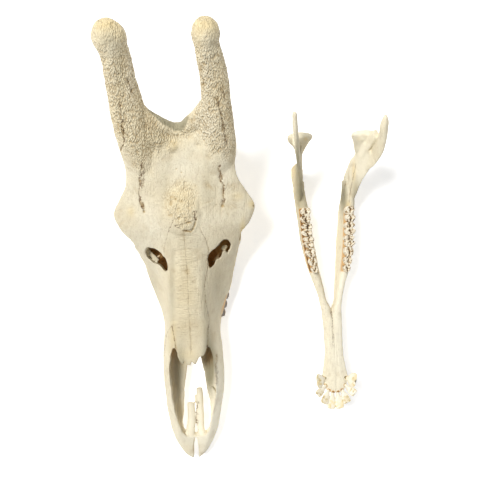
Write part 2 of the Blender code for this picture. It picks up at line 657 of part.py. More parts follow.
def build():
    clear_scene()
    part = collection("giraffe_skull")
    skins = {"bone": material("bone", BONE, 0.7), "enamel": material("enamel", ENAMEL, 0.45)}

    cranium = build_cranium()
    teeth, sockets = upper_teeth()
    set_down("cranium_place", CRANIUM_AT, CRANIUM_TURN, [cranium, *teeth])
    cut_sockets(cranium, sockets)
    finish(part, [cranium, *teeth], skins)

    for side, hand in ((1, "left"), (-1, "right")):
        jaw, teeth, cutters = build_jaw(side, hand)
        pieces = [jaw, *teeth]
        set_down(f"jaw_{hand}_place", JAW_AT, JAW_TURN, pieces)
        cut_sockets(jaw, cutters)
        finish(part, pieces, skins)


build()
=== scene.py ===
"""A giraffe's skull, laid out for study on a white table and seen from straight above.

Each bone is shaped in its own frame, in millimetres: X = 0 is the animal's midline, +Y runs from
the nose to the back of the head, and the table is at Z = 0. It is then set in its place on the
table. Left and right are the animal's own: its left is +X.
"""

import math

import bmesh
import bpy
import numpy as np
from mathutils import Matrix, Vector
from mathutils.bvhtree import BVHTree


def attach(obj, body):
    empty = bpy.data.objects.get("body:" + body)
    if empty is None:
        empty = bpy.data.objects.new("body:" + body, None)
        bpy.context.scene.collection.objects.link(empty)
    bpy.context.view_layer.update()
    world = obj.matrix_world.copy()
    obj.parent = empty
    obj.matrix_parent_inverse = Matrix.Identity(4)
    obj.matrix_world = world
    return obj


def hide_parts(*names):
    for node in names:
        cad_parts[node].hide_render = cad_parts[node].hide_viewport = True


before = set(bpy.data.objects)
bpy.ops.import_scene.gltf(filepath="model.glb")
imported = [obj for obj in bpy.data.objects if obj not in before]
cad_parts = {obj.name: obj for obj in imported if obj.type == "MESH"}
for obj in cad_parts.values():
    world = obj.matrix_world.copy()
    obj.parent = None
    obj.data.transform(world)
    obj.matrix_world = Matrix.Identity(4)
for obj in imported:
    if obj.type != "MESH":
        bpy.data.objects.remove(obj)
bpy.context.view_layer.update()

MM = 0.001
# The animal's sides
SIDES = ((1, "left"), (-1, "right"))

# The photograph's frame: its size and middle in pixels, its scale, and where the camera hangs
PHOTO_SIZE = 480
PHOTO_MIDDLE = 240
PIXELS_PER_SLOPE = 579
CAMERA = (-11.8, 54.3, 1250)

# Where each bone lies on the table: midline point, and turn about the upright axis in degrees
CRANIUM_AT = (-115.1, 54.3)
CRANIUM_TURN = 1.9
JAW_AT = (166.2, 54.3)
JAW_TURN = 2.0

# How finely the bones are fused and smoothed, and the triangles they keep
CRANIUM_VOXEL = 1.75
CRANIUM_TRIANGLES = 188000
JAW_VOXEL = 1.3
JAW_TRIANGLES = 120000
SMOOTHING = 0.5
SMOOTHING_PASSES = 6
# Half the hairline between the jaw's halves at the chin
CHIN_GAP = 0.03
# How far the first two points of an ossicone's path are sunk into the forehead
FOOT_SINK = (24, 10)
# How far the painted shade and brown reach from the wall of a cave
CAVE_REACH = 4
# How far seams and cracks stray from their lines, in pixels, and how much wider the cracks are
SEAM_STRAY = 0.9
CRACK_STRAY = 1.8
CRACK_WIDTH = 2.6

# Neither bone grew quite straight. Distance along the bone, then how far it bends to the animal's
# left, and how much its left side lies behind its right side, per millimetre across
HEAD_BEND = [
    (-460, -5.0), (-415, -4.5), (-380, -3.3), (-345, -2.2), (-310, -0.8), (-276, -0.3), (-162, -1.0),
    (-100, 0.6), (-40, 0.4), (100, 0), (150, -2.5),
]
HEAD_SKEW = [(-60, 0), (0, 0.035), (110, 0.035), (180, 0)]
JAW_BEND = [
    (-350, -1.0), (-330, 0), (-300, 2.5), (-270, 4.2), (-220, 5.6), (-170, 5.7), (-110, 3.7), (-40, 2.0),
    (0, 0.8), (60, 0),
]
NO_SKEW = [(0, 0), (1, 0)]

# The cranium's outline in cross-section: distance along the head, then the left half of the
# section from the top of the midline, round the side, to the bottom of the midline
HEAD = [
    (233, [(0, 106), (20, 105), (34, 100), (44, 92), (47, 80), (43, 68), (32, 60), (16, 52), (0, 50)]),
    (223, [(0, 156), (30, 154), (52, 146), (65, 128), (68, 108), (60, 88), (42, 70), (20, 58), (0, 54)]),
    (212, [(0, 204), (40, 202), (68, 190), (84, 164), (82, 128), (70, 92), (46, 66), (22, 54), (0, 52)]),
    (200, [(0, 224), (42, 234), (76, 236), (94, 194), (84, 140), (72, 96), (48, 66), (22, 54), (0, 52)]),
    (178, [(0, 222), (40, 228), (80, 229), (102, 196), (82, 155), (74, 105), (52, 66), (24, 50), (0, 48)]),
    (148, [(0, 213), (40, 216), (80, 215), (100, 194), (74, 162), (66, 110), (48, 68), (24, 50), (0, 48)]),
    (112, [(0, 203), (38, 203), (78, 202), (102, 189), (70, 160), (58, 112), (44, 72), (22, 52), (0, 49)]),
    (84, [(0, 196), (38, 196), (84, 191), (118, 175), (84, 142), (60, 105), (44, 75), (22, 54), (0, 50)]),
    (58, [(0, 190), (40, 190), (92, 183), (132.5, 164), (112, 136), (96, 92), (56, 72), (26, 52), (0, 48)]),
    (28, [(0, 181), (38, 180), (82, 175), (122, 158), (112, 126), (104, 88), (66, 66), (30, 46), (0, 46)]),
    (-6, [(0, 170), (36, 165), (68, 153), (100, 135), (105, 106), (99, 76), (76, 46), (42, 40), (0, 46)]),
    (-45, [(0, 155), (33, 150), (53, 134), (73, 112), (89, 86), (92.5, 62), (80, 28), (44, 27), (0, 43)]),
    (-90, [(0, 142), (31, 138), (44, 122), (57, 101), (74, 77), (82, 55), (78, 27), (46, 26), (0, 42)]),
    (-125, [(0, 132), (30, 128), (40, 116), (49, 98), (62, 74), (70, 52), (68, 27), (42, 26), (0, 40)]),
    (-160, [(0, 124), (29, 120), (37, 110), (44, 95), (53, 74), (58.5, 52), (60, 28), (36, 28), (0, 39)]),
    (-190, [(0, 117), (28, 114), (36, 106), (43, 93), (53, 74), (58, 56), (53, 33), (28, 33), (0, 37)]),
    (-228, [(0, 110), (28, 107), (37, 99), (46, 90), (57, 73), (61, 56), (54, 33), (28, 32), (0, 35)]),
    (-260, [(0, 98), (28, 98), (42, 95), (50, 87), (59, 70), (62, 55), (54, 31), (28, 30), (0, 32)]),
    (-295, [(0, 87), (27, 89), (43, 87), (50, 80), (58, 66), (61.5, 52), (54, 30), (28, 27), (0, 28)]),
    (-330, [(0, 76), (26, 79), (41, 78), (48, 72), (55, 60), (58.5, 47), (51, 28), (26, 25), (0, 26)]),
    (-365, [(0, 65), (22, 68), (36, 68), (42, 63), (50, 52), (53.5, 42), (46, 26), (24, 22), (0, 23)]),
    (-400, [(0, 52), (18, 55), (30, 56), (35, 53), (42, 45), (46, 38), (38, 24), (20, 19), (0, 19)]),
    (-425, [(0, 44), (14, 46), (24, 47), (28, 44), (33, 39), (35.5, 33), (28, 23), (14, 19), (0, 19)]),
    (-442, [(0, 38), (10, 40), (18, 40), (21, 38), (24.5, 34), (25.5, 30), (20, 23), (10, 20), (0, 20)]),
    (-453, [(0, 33), (6, 35), (11, 35), (13, 33), (15.5, 31), (16, 29), (13, 25), (7, 23), (0, 23)]),
    (-458.5, [(0, 30), (3, 31), (5, 31), (7, 30), (8, 29), (8, 28), (7, 27), (4, 26), (0, 26)]),
]

# The nasal cavity, in the same form
CAVITY = [
    (8, [(0, 132), (12, 130), (22, 120), (26, 105), (24, 85), (14, 72), (0, 70)]),
    (-40, [(0, 145), (25, 141), (38, 124), (52, 98), (58, 74), (36, 54), (0, 54)]),
    (-90, [(0, 134), (25, 130), (35, 115), (48, 88), (56, 64), (34, 50), (0, 50)]),
    (-160, [(0, 117), (23, 114), (30, 104), (37, 84), (43, 64), (30, 47), (0, 47)]),
    (-210, [(0, 108), (23, 104), (31, 95), (38, 82), (46, 62), (34, 44), (0, 44)]),
    (-250, [(0, 94), (24, 93), (36, 88), (44, 76), (51, 58), (40, 40), (0, 40)]),
    (-290, [(0, 82), (24, 82), (37, 79), (44, 70), (52, 54), (40, 37), (0, 37)]),
    (-330, [(0, 72), (24, 72), (36, 69), (42, 60), (48, 48), (38, 35), (0, 35)]),
    (-370, [(0, 58), (20, 59), (30, 58), (36, 51), (41, 42), (31, 32), (0, 32)]),
    (-403, [(0, 47), (14, 47), (22, 47), (26, 43), (29, 37), (20, 30), (0, 30)]),
]

# Seen from above: the nose's opening, whose back edge is the ragged tips of the nasal bones
NOSE_OPENING = [
    (-34, -214), (-29, -221), (-27, -230), (-19, -246), (-14, -238), (-10, -247), (-3, -248), (0, -240),
    (6, -248), (11, -240), (16, -231), (22, -230), (28, -223), (33, -213), (39, -226), (43, -255),
    (45, -286), (43, -318), (36, -352), (28, -385), (20, -402), (8, -407), (-14, -407), (-25, -402),
    (-32, -385), (-39, -352), (-44, -318), (-46, -286), (-46, -255), (-42, -227),
]
# The open slot in the palate between the premaxillae, and the gap between their tips
PALATE_SLOT = [
    (2, -232), (12, -242), (17, -265), (20, -282), (23, -310), (29, -335), (30, -352), (29, -380),
    (24, -398), (10, -406), (-12, -406), (-26, -400), (-30, -384), (-27, -362), (-25, -325),
    (-22, -298), (-16, -262), (-10, -242),
]
TIP_GAP = [(-1, -408), (1, -417), (1.5, -434), (0.5, -470), (-7, -470), (-8, -434), (-5.5, -417), (-3, -408)]
# The gaps where thin bone is lost in front of the orbits
LEFT_VACUITY = [
    (40, -46), (42, -30), (50, -21), (60, -14), (66, -6), (74, -1), (85, -7), (83, -20), (77, -28),
    (74, -22), (68, -27), (64, -36), (56, -40), (50, -50), (44, -56),
]
RIGHT_VACUITY = [
    (-75, -11), (-61, -14), (-50, -21), (-44, -29), (-39, -37), (-38, -57), (-45, -58), (-53, -48),
    (-60, -44), (-72, -38), (-79, -26),
]

# The heights between which the nose, the palate and these gaps are cut
NOSE_CUT = (45, 150)
PALATE_CUT = (-5, 60)
VACUITY_CUT = (78, 190)

# Rods and bars that follow a path: x, y, z, half-width across, half-thickness
LEFT_OSSICONE = [
    (60, 128, 176, 28, 30), (66, 165, 206, 35, 33), (70, 200, 236, 30, 29), (70, 238, 266, 25.5, 25),
    (69, 266, 288, 24, 24), (64.5, 292, 311, 22.5, 23), (60.5, 311, 329, 20.5, 21), (60, 322, 340, 23, 23),
    (60, 333, 349, 20, 20), (60, 340, 356, 12, 12),
]
RIGHT_OSSICONE = [
    (-62, 124, 172, 26, 28), (-72, 160, 202, 32, 32), (-80, 200, 236, 32, 30), (-83.5, 238, 266, 29, 26),
    (-86, 266, 288, 26.5, 24), (-87, 292, 311, 25, 23), (-89, 309, 328, 24.5, 23), (-92.5, 322, 341, 28, 25),
    (-94.5, 333, 350, 23, 22), (-95, 341, 358, 13, 13),
]
# The saddle of bone between the ossicones
SADDLE = [
    (-84, 236, 262, 24, 22), (-62, 216, 242, 20, 20), (-40, 205, 228, 18, 20), (-18, 199, 217, 15, 16),
    (-5, 196, 213, 15, 15), (10, 198, 215, 15, 15), (28, 206, 227, 17, 19), (48, 218, 242, 19, 20),
    (70, 236, 260, 22, 22),
]
# The slope that carries the forehead up to the saddle
SADDLE_SLOPE = [
    (-68, 204, 236, 26, 22), (-42, 190, 220, 24, 19), (-20, 183, 209, 22, 16), (0, 180, 206, 20, 14),
    (20, 182, 209, 22, 16), (44, 193, 222, 24, 19), (66, 206, 238, 26, 22),
]
ZYGOMATIC_ARCH = [
    (90, -30, 88, 7, 16), (98, -5, 86, 6, 13), (103, 25, 83, 5, 10), (102, 60, 84, 5, 9),
    (96, 100, 87, 4.5, 8), (91, 140, 92, 5, 8), (78, 168, 98, 8, 9), (62, 178, 100, 8, 9),
]
POSTORBITAL_BAR = [
    (117, 68, 160, 6, 12), (118, 70, 140, 5, 9), (112, 70, 115, 4.5, 8), (104, 68, 84, 4.5, 9),
]
MASTOID_CREST = [
    (70, 204, 204, 8, 8), (83, 203, 178, 7, 7), (85, 202, 145, 6, 8), (77, 204, 112, 6, 9),
    (67, 207, 90, 8, 12),
]
PAROCCIPITAL = [
    (66, 206, 92, 9, 16), (62, 208, 62, 7, 15), (56, 206, 34, 5.5, 12), (52, 203, 12, 4.5, 9),
    (51, 202, 0.4, 3.5, 6),
]
EAR_TUBE = [(58, 176, 86, 11, 11), (74, 180, 88, 10, 10), (86, 183, 90, 9, 9)]
PTERYGOID_PLATE = [(38, -28, 36, 5, 12), (29, 0, 36, 4.5, 15), (26, 35, 40, 4, 13), (26, 70, 48, 4, 8)]
LEFT_ROD = [
    (8, -309, 38, 7, 6), (8, -350, 37, 7.5, 6), (8.5, -395, 36, 8, 6.5), (10.5, -406, 39.5, 10, 8),
    (14, -420, 40, 10, 7.5), (16, -434, 35, 7, 5),
]
RIGHT_ROD = [
    (-11, -340, 37, 7.5, 5.5), (-11, -375, 36, 8.5, 6), (-13, -396, 37, 9.5, 6.5),
    (-15.5, -406, 39.5, 11, 8), (-18, -420, 40, 10, 7.5), (-18.5, -434, 35, 7, 5),
]

# Rounded lumps: centre, then half-sizes
MEDIAN_HORN = [((-3, 68, 150), (56, 70, 52)), ((-1, 52, 150), (36, 36, 42)), ((-4, 92, 162), (36, 44, 38))]
FRONTAL_KNOB = ((-14, 169, 214), (13, 13, 12))
CONDYLE = ((26, 224, 60), (15, 17, 24))
BASIOCCIPITAL = ((0, 190, 52), (24, 50, 14))
OCCIPITAL_KNOB = ((0, 203, 188), (13, 11, 15))
BULLA = ((37, 172, 50), (13, 21, 18))

# Hollows: centre, then half-sizes
ORBIT = ((113, 27, 119), (54, 36, 33))
CHOANAE = ((0, 2, 52), (19, 38, 34))
FORAMEN_MAGNUM = ((0, 238, 88), (18, 60, 16))

# Upper cheek teeth, front to back: length along the row, width, and how far from the midline the
# root and the crown are
UPPER_TEETH = [
    ("premolar_1", 18, 18, 53, 59.5), ("premolar_2", 19, 21, 57, 62), ("premolar_3", 20, 24, 61, 65),
    ("molar_1", 24, 27, 64.5, 66.5), ("molar_2", 27, 28, 65, 66), ("molar_3", 27, 26, 62.5, 62.5),
]
UPPER_ROW_FRONT = -166
UPPER_CROWN = 0
UPPER_NECK = 25
UPPER_ROOT = 37

# The lower jaw's left half. Body: y, x of the middle, half-width, lowest z, highest z, and how far
# its top leans out
JAW_BODY = [
    (124, 51, 9, 4, 64, 0), (105, 51.5, 11, 2, 73, 0), (85, 49, 11.5, 1.5, 77, 1), (62, 46, 12.5, 1, 76, 2),
    (28, 42.5, 13, 2, 75, 2), (-5, 39, 13.5, 4, 74, 3), (-38, 34, 12.5, 9, 74, 3), (-60, 30, 11.5, 15, 73, 3),
    (-80, 25, 10, 22, 70, 2), (-108, 18.5, 8, 31, 70, 1), (-125, 15.2, 7.8, 36, 71, 0.5),
    (-150, 8.5, 11.8, 44, 73, 0), (-185, 4.5, 14.5, 50, 77, 0), (-225, 2.5, 16.3, 58, 81, 0),
    (-253, 3, 19, 64, 85, 0), (-276, 4, 22, 70, 90, 0), (-294, 3, 19, 76, 93, 0), (-305, 0, 13.5, 82, 94, 0),
]
# Ramus: z, then y and x of its front edge, y and x of its back edge, half-thickness
RAMUS = [
    (0.5, 98, 49, 140, 57, 5), (6, 86, 48, 150, 59, 7), (22, 80, 49, 157, 59.5, 7.5),
    (48, 74, 51, 159, 57.5, 7.5), (80, 82, 54.5, 161, 53, 6.2), (110, 108, 59, 168, 55, 4.8),
    (140, 131, 67, 180, 56, 4.4), (164, 146, 74, 190, 58, 4.5),
]
# How far out its front edge leans at the top, on the left and on the right
RAMUS_LEAN = {1: 9, -1: -10}
# The coronoid process on the left and on the right, and the condyle, as paths
CORONOID = {
    1: [
        (69, 147, 130, 4, 18), (77.5, 158, 165, 4, 22), (83, 171, 198, 5, 20), (82.5, 184, 222, 6, 17),
        (80.5, 195, 240, 6.5, 13), (80, 203, 252, 5.5, 10), (79, 209, 260, 3, 6),
    ],
    -1: [
        (59, 144, 140, 4, 16), (64, 158, 170, 4, 20), (68, 171, 200, 4, 18), (72, 186, 225, 4, 14),
        (75, 199, 243, 4.5, 10), (76.5, 210, 254, 4.4, 8), (77.5, 220, 263, 3.4, 5),
    ],
}
# The web of bone between the coronoid process and the condyle
NOTCH_WEB = {
    1: [(60, 168, 132, 5, 16), (67, 178, 158, 6, 15), (73, 186, 180, 6, 12), (77, 191, 196, 5, 9)],
    -1: [(60, 168, 132, 4, 16), (66, 179, 158, 4, 15), (71, 187, 180, 3.6, 12)],
}
CONDYLE_NECK = [
    (57, 172, 122, 6, 12), (58, 183, 146, 14, 9), (59.5, 190, 161, 21.5, 9.5), (59.5, 194, 170, 23.5, 9.5),
    (59.5, 195, 176, 22, 7), (59.5, 195, 180, 15, 4),
]

# Lower cheek teeth, back to front: length along the row, width
LOWER_TEETH = [
    ("molar_3", 32, 20.5), ("molar_2", 26, 22), ("molar_1", 23, 22),
    ("premolar_3", 20, 20), ("premolar_2", 17, 17.5), ("premolar_1", 14, 14.5),
]
LOWER_ROW_BACK = 67
LOWER_CROWN = 92
LOWER_NECK = 76
LOWER_ROOT = 64
# Middle line of the lower row: y, x
LOWER_ROW = [(80, 46.5), (66, 45.5), (28, 43.5), (-5, 41), (-38, 36.5), (-58, 32.5), (-70, 30)]

# Front teeth: x and y where the crown leaves the bone, x and y of its tip, width of the crown
FRONT_TEETH = [
    ("incisor_1", (4.2, -300), (9.0, -334), 15.5),
    ("incisor_2", (11.8, -297), (23.2, -323.5), 14.5),
    ("incisor_3", (17.5, -289.5), (37, -306.5), 14),
    ("canine", (21, -277), (39, -281), 27),
]
FRONT_ROOT_Z = 85
FRONT_TIP_Z = 102
# A front tooth wider than this has two lobes
BROAD_TOOTH = 20
# How far the valleys of a cheek tooth lie below its crests
CREST_DEPTH = 5.2
# The walls of a cheek tooth on the way down to its root: share of the crown's height, share of its width
WALL_LEVELS = [(0.3, 1.03), (0.55, 1.04), (0.8, 1.0), (1.0, 0.95), (1.6, 0.8)]

# What the photograph shows on the bones, in its pixels.
# Seams and cracks that run lengthways: across-position at each height, then depth and darkness
SEAMS = [
    ([(164, 252), (165, 244), (168, 232), (173, 221)], 0.5, 0.45),
    ([(191, 352), (190, 330), (189, 310), (188, 290), (187, 270), (185, 245), (184, 232)], 0.6, 0.4),
    ([(207, 352), (207.5, 342), (208, 330), (209.5, 320), (206, 304), (204.5, 285), (207.5, 268),
      (208.5, 250), (206, 240), (200, 229)], 1.0, 0.85),
    ([(172, 325.5), (168.8, 329.5), (166.3, 335), (165, 345), (164, 356)], 0.7, 0.5),
    ([(172, 325.5), (173.8, 335), (175, 342.5), (176, 352)], 1.3, 0.9),
    ([(333, 345), (333.2, 335), (332.4, 330), (332.6, 322), (331, 311)], 0.8, 0.8),
    ([(336, 392), (336, 376), (335.5, 364)], 0.2, 0.15),
    ([(356, 164), (353, 178), (350.5, 190), (349, 203)], 0.8, 0.55),
    ([(345.5, 182), (344, 192), (341, 204)], 0.8, 0.5),
]
# Soft grooves beside the nasal bones, in the same form
GROOVES = [
    ([(176, 250), (173.5, 275), (172, 300), (172.5, 322)], 2.4, 0),
    ([(206, 256), (206, 280), (206, 304), (209, 320)], 2.0, 0),
]
# Cracks, in the same form
CRACKS = [
    ([(119.5, 103), (121, 118), (124, 133), (124, 143), (120.5, 150)], 2.6, 1.0),
    ([(127, 79), (129, 85), (132, 93)], 1.6, 0.8),
    ([(217.5, 98), (219, 108), (221, 118), (223, 126), (225, 135), (226, 146)], 2.0, 0.85),
    ([(222, 88), (225, 100)], 1.6, 0.8),
    ([(141.5, 162), (141, 174), (140, 182), (139.5, 192), (141, 202), (143.5, 210)], 2.4, 1.0),
    ([(144.5, 166), (143, 178), (142.5, 188)], 1.4, 0.6),
    ([(219, 165), (221, 176), (223, 188), (223.5, 204)], 2.2, 1.0),
    ([(175, 226), (179, 229), (183, 231), (187, 230), (191, 232), (194, 229), (196, 220),
      (195, 211)], 1.6, 1.0),
    ([(216.5, 355), (216.5, 385)], 1.0, 0.4),
    ([(196.3, 402), (196.6, 418), (196.6, 432)], 2.0, 0.8),
]
# Small holes: across, down, radius, and depth in millimetres
HOLES = [
    (144, 212, 1.2, 4.5), (222.5, 206, 1.3, 4.5), (176.5, 169, 0.7, 2.6), (181.5, 172.5, 0.7, 2.6),
    (203.5, 84, 1.4, 2.6), (205, 86, 0.9, 2.2), (201.5, 84.5, 0.8, 2.0), (140, 181, 0.9, 2.5),
    (171, 141, 0.8, 1.8), (181, 194, 0.8, 2.0), (176, 199, 0.8, 1.8), (168, 200, 0.8, 1.8),
    (169, 215, 0.8, 1.8), (193, 213, 1.0, 2.2), (254, 206, 1.1, 2.5), (223, 190, 0.8, 2.0),
]
# The horny crust over the middle of the forehead
HORN_CRUST = [
    (183, 177), (190, 181), (197, 188), (199, 196), (197, 206), (196, 216), (194, 226), (191, 231),
    (184, 230), (177, 228), (173, 222), (167, 212), (162, 201), (165, 193), (171, 187), (177, 181),
]
# Down the photograph, where the crust begins to thicken and where it is thickest
CRUST_THICKENS = (195, 228)
# The break under the crust's front: across, the slope of its upper limit, then down at that place,
# where it begins and where it is deepest
LIP_LINE = (196, 0.9, 214, 224)
# The small holes above the orbits, from which fine grooves fan out
FAN_MIDDLES = ((143, 204), (221, 198))
# Wrinkles of the nasal bones, in the surface and in the colour: middle across, half-width, then down,
# where they begin and are full, and where they fade and end
FINE_WRINKLES = (186, 10, 228, 240, 300, 330)
NASAL_WRINKLES = (188, 13, 226, 240, 325, 350)
# Down the photograph, where the painted shade and brown inside the nose begin to fade and where they are
# weakest
NOSE_FADE = (346, 364)
# The granular bone of the horns, which runs down onto the forehead
GRANULAR = [
    (80, 10), (130, 8), (136, 90), (148, 112), (160, 122), (178, 127), (188, 124), (199, 110), (200, 8),
    (228, 8), (240, 120), (236, 152), (228, 160), (214, 158), (209, 150), (196, 139), (184, 137),
    (177, 146), (168, 152), (158, 152), (150, 160), (146, 172), (140, 170), (126, 156), (112, 130),
]
# The dark slope behind the saddle: painted shade with some grey-brown stain
BACK_SLOPE = [
    (148, 111), (153, 116), (160, 121.5), (168, 127), (174, 130.5), (181, 131), (184.5, 128), (186.5, 123),
    (190, 116), (186, 116), (178, 119), (166, 116), (154, 105), (148, 105),
]
# The gaps in front of the orbits, whose floors are painted dark: painted shade and brown
GAPS = [
    [(208, 263), (208.6, 255), (213, 250), (218, 246), (220.6, 242), (225, 239.4), (230.4, 242),
     (230, 249), (227, 253), (225, 250), (222, 253), (220, 257.4), (216, 260), (213, 265), (210, 268)],
    [(148, 247), (155, 248.5), (161, 251.5), (164, 256), (166.8, 260), (167.6, 270), (164, 271),
     (160, 266), (156, 264), (150, 261), (146, 255)],
]
# Tints: across, down, half-width, half-height, strength
WARM_SPOTS = [
    (173, 144, 4, 6, 0.5), (131, 62, 4, 22, 0.7), (108, 23, 17, 9, 0.95), (118, 36, 10, 6, 0.35),
    (207, 24, 16, 10, 0.85), (200, 50, 5, 30, 0.3), (202, 80, 8, 12, 0.4), (181, 412, 3, 12, 0.6),
    (188, 356, 12, 8, 0.25), (186, 290, 14, 55, 0.22), (354, 172, 2, 10, 0.8), (348, 205, 3, 5, 0.8),
    (345, 240, 2, 34, 0.35), (291.5, 170, 3, 6, 0.3), (318, 376, 3, 6, 0.4), (214, 396, 3, 6, 0.5),
    (182, 198, 12, 16, 0.3), (173, 335, 3, 14, 0.35), (359, 139, 2, 2, 0.7), (306, 139, 2, 2, 0.5),
    (238, 196, 6, 4, 0.25), (252, 204, 4, 4, 0.5), (131, 212, 4, 5, 0.3), (187, 450, 6, 8, 0.3),
    (295, 172, 2, 8, 0.25), (299, 190, 7, 26, 0.4), (243, 232, 2.5, 10, 0.8), (207, 140, 16, 10, 0.15),
]
# Grey-olive stain and painted shade: on the jaw's ramus and its hollows, the cheeks, beside the nasal bones
# and the median horn, inside the nose, and on the horns
GREY_STAIN_AND_SHADE_SPOTS = [
    (300, 190, 6, 22, 0.95), (297.5, 160, 2.5, 18, 0.6), (343, 196, 4.2, 17, 1.1), (357, 197, 5, 15, 0.8),
    (152, 288, 6, 28, 0.3), (187, 238, 15, 9, 0.16), (218, 285, 8, 26, 0.28), (208, 345, 4, 20, 0.3),
    (302, 232, 3, 20, 0.45), (297, 148, 1.5, 20, 0.35), (180, 368, 6, 26, 0.75), (210, 368, 6, 26, 1.3),
    (164, 180, 6, 24, 0.13), (205, 178, 5, 20, 0.1),
    (210, 192, 9, 22, 0.25), (176, 162, 14, 8, 0.15), (172, 300, 3.5, 40, 0.4), (205, 300, 3.5, 40, 0.36),
    (109, 38, 8, 10, 0.35), (118, 70, 5, 26, 0.3), (212, 45, 6, 24, 0.3), (157, 140, 12, 12, 0.2),
]
# Painted light: where the bone is painted paler and brighter
PAINTED_LIGHT_SPOTS = [
    (206, 425, 34, 42, 0.8), (216, 380, 6, 34, 0.75), (362, 150, 9, 60, 0.7), (346, 300, 16, 80, 0.75),
    (205, 75, 8, 40, 0.55), (131, 70, 5, 34, 0.6), (206, 130, 13, 20, 0.55), (150, 225, 14, 26, 0.35),
    (180, 165, 20, 14, 0.3), (225, 160, 7, 30, 0.3), (112, 60, 6, 30, 0.25),
]
# Painted shade in the darkest corners, at the nose and over the tooth rows
PAINTED_SHADE_SPOTS = [
    (180, 356, 6, 8, 0.2), (209, 356, 6, 8, 0.3), (162, 308, 2, 9, 0.6), (224, 304, 5, 13, 0.6),
]
# Thin splinters left in the gaps in front of the orbits
SPLINTERS = [
    [(-78, -24, 104, 2.2, 1.6), (-68, -29, 106, 3.0, 1.8), (-58, -38, 104, 2.0, 1.4)],
    [(-72, -36, 98, 2.4, 1.5), (-64, -33, 100, 3.4, 2.0), (-56, -28, 98, 2.0, 1.4)],
    [(46, -47, 96, 2.0, 1.6), (55, -36, 99, 3.2, 1.8), (66, -24, 97, 2.2, 1.6)],
    [(-80, -16, 112, 3, 1.6), (-74, -24, 110, 5.5, 1.8), (-67, -33, 106, 4.5, 1.6),
     (-61, -42, 104, 2.4, 1.4)],
    [(66, -22, 112, 3, 1.6), (72, -17, 113, 6, 1.8), (78, -14, 114, 3, 1.5)],
    [(32, -306, 44, 3.5, 2.5), (37, -318, 46, 5.5, 3.0), (40, -330, 45, 3.5, 3.0), (38, -342, 44, 2.5, 2.5)],
    [(-3, -322, 33, 1.5, 2), (-1.5, -331, 33, 2, 3), (-2, -342, 33, 1.5, 2)],
]

# Bone, its tints and its stains, and the colours of its painted light and shade
CREAM = (0.88, 0.81, 0.62, 1)
SAND = (0.82, 0.73, 0.52, 1)
OLD_CREAM = (0.77, 0.70, 0.52, 1)
OLD_SAND = (0.70, 0.61, 0.42, 1)
YELLOWED = (0.98, 0.87, 0.60, 1)
# The pale cream of the painted light
PAINTED_LIGHT_CREAM = (1.0, 0.94, 0.76, 1)
ROSE = (0.66, 0.56, 0.42, 1)
AMBER = (0.86, 0.66, 0.29, 1)
# Grey-olive of stains and of painted shade
MOSS_STAIN_AND_SHADE = (0.31, 0.28, 0.18, 1)
# Near-black of seam lines and of the deepest painted shade
UMBER_SEAM_AND_SHADE = (0.115, 0.052, 0.016, 1)
# Brown of the bone's inside and of painted shade in caves, gaps and corners
DARK_BROWN_AND_SHADE = (0.70, 0.39, 0.13, 1)
# Brown of pores and of painted shade in hollows
PORE_AND_HOLLOW_SHADE = (0.42, 0.29, 0.12, 1)
# Brown and painted shade in the crevices between the horn's grains
GRAIN_CREVICE_BROWN_AND_SHADE = (0.47, 0.31, 0.12, 1)
# Enamel, its stains, and the dark of its painted shade
WHITE_ENAMEL = (0.87, 0.81, 0.66, 1)
YELLOW_ENAMEL = (0.86, 0.70, 0.36, 1)
OLIVE_ENAMEL = (0.60, 0.47, 0.22, 1)
TAN_ENAMEL = (0.72, 0.57, 0.27, 1)
BROWN_ENAMEL = (0.46, 0.29, 0.11, 1)
# Near-black of tartar and of painted shade in valleys, on walls and at the bone line
TARTAR_AND_SHADE = (0.05, 0.026, 0.012, 1)

# The table and the studio's lights
TABLE_GLOW = 0.5
SKY_GLOW = 0.34
KEY_AT = (-1.4, 0.9, 3.8)
KEY_SIZE = 1.0
KEY_POWER = 158


def span(before, start, end, after, t):
    """Catmull-Rom curve between start and end."""
    slope = end - before
    bend = 2 * before - 5 * start + 4 * end - after
    twist = 3 * start - before - 3 * end + after
    return 0.5 * (2 * start + slope * t + bend * t**2 + twist * t**3)


def curve_through(rows, steps):
    """An open smooth curve through rows, with that many steps from one row to the next."""
    rows = np.asarray(rows, float)
    ends = np.concatenate([2 * rows[:1] - rows[1:2], rows, 2 * rows[-1:] - rows[-2:-1]])
    t = (np.arange(steps) / steps).reshape(-1, *[1] * (rows.ndim - 1))
    spans = [span(*ends[i:i + 4], t) for i in range(len(rows) - 1)]
    return np.concatenate([*spans, rows[-1:]])


def loop_through(points, steps):
    """A closed smooth curve through points."""
    t = (np.arange(steps) / steps)[:, None]
    around = [np.roll(points, -i, axis=0) for i in (-1, 0, 1, 2)]
    return np.concatenate([span(*(ring[i] for ring in around), t) for i in range(len(points))])


def add_object(name, mesh):
    """An object of a bmesh, which is then freed."""
    data = bpy.data.meshes.new(name)
    mesh.to_mesh(data)
    mesh.free()
    made = bpy.data.objects.new(name, data)
    bpy.context.scene.collection.objects.link(made)
    return made


def skin(name, rings):
    """A closed skin over rings of equal count, flat at both ends."""
    mesh = bmesh.new()
    loops = [[mesh.verts.new(point) for point in ring * MM] for ring in np.asarray(rings, float)]
    for near, far in zip(loops, loops[1:]):
        for i in range(len(near)):
            j = (i + 1) % len(near)
            mesh.faces.new((near[i], near[j], far[j], far[i]))
    mesh.faces.new(loops[0][::-1])
    mesh.faces.new(loops[-1])
    bmesh.ops.recalc_face_normals(mesh, faces=mesh.faces)
    return add_object(name, mesh)


def loft(name, stations, along, around):
    """A skin over half-sections, each mirrored in the midline and rounded."""
    rows = [[(x, y, z) for x, z in half] for y, half in stations]
    rings = []
    for half in curve_through(rows, along):
        other = half[-2:0:-1] * (-1, 1, 1)
        rings.append(loop_through(np.concatenate([half, other]), around))
    return skin(name, rings)


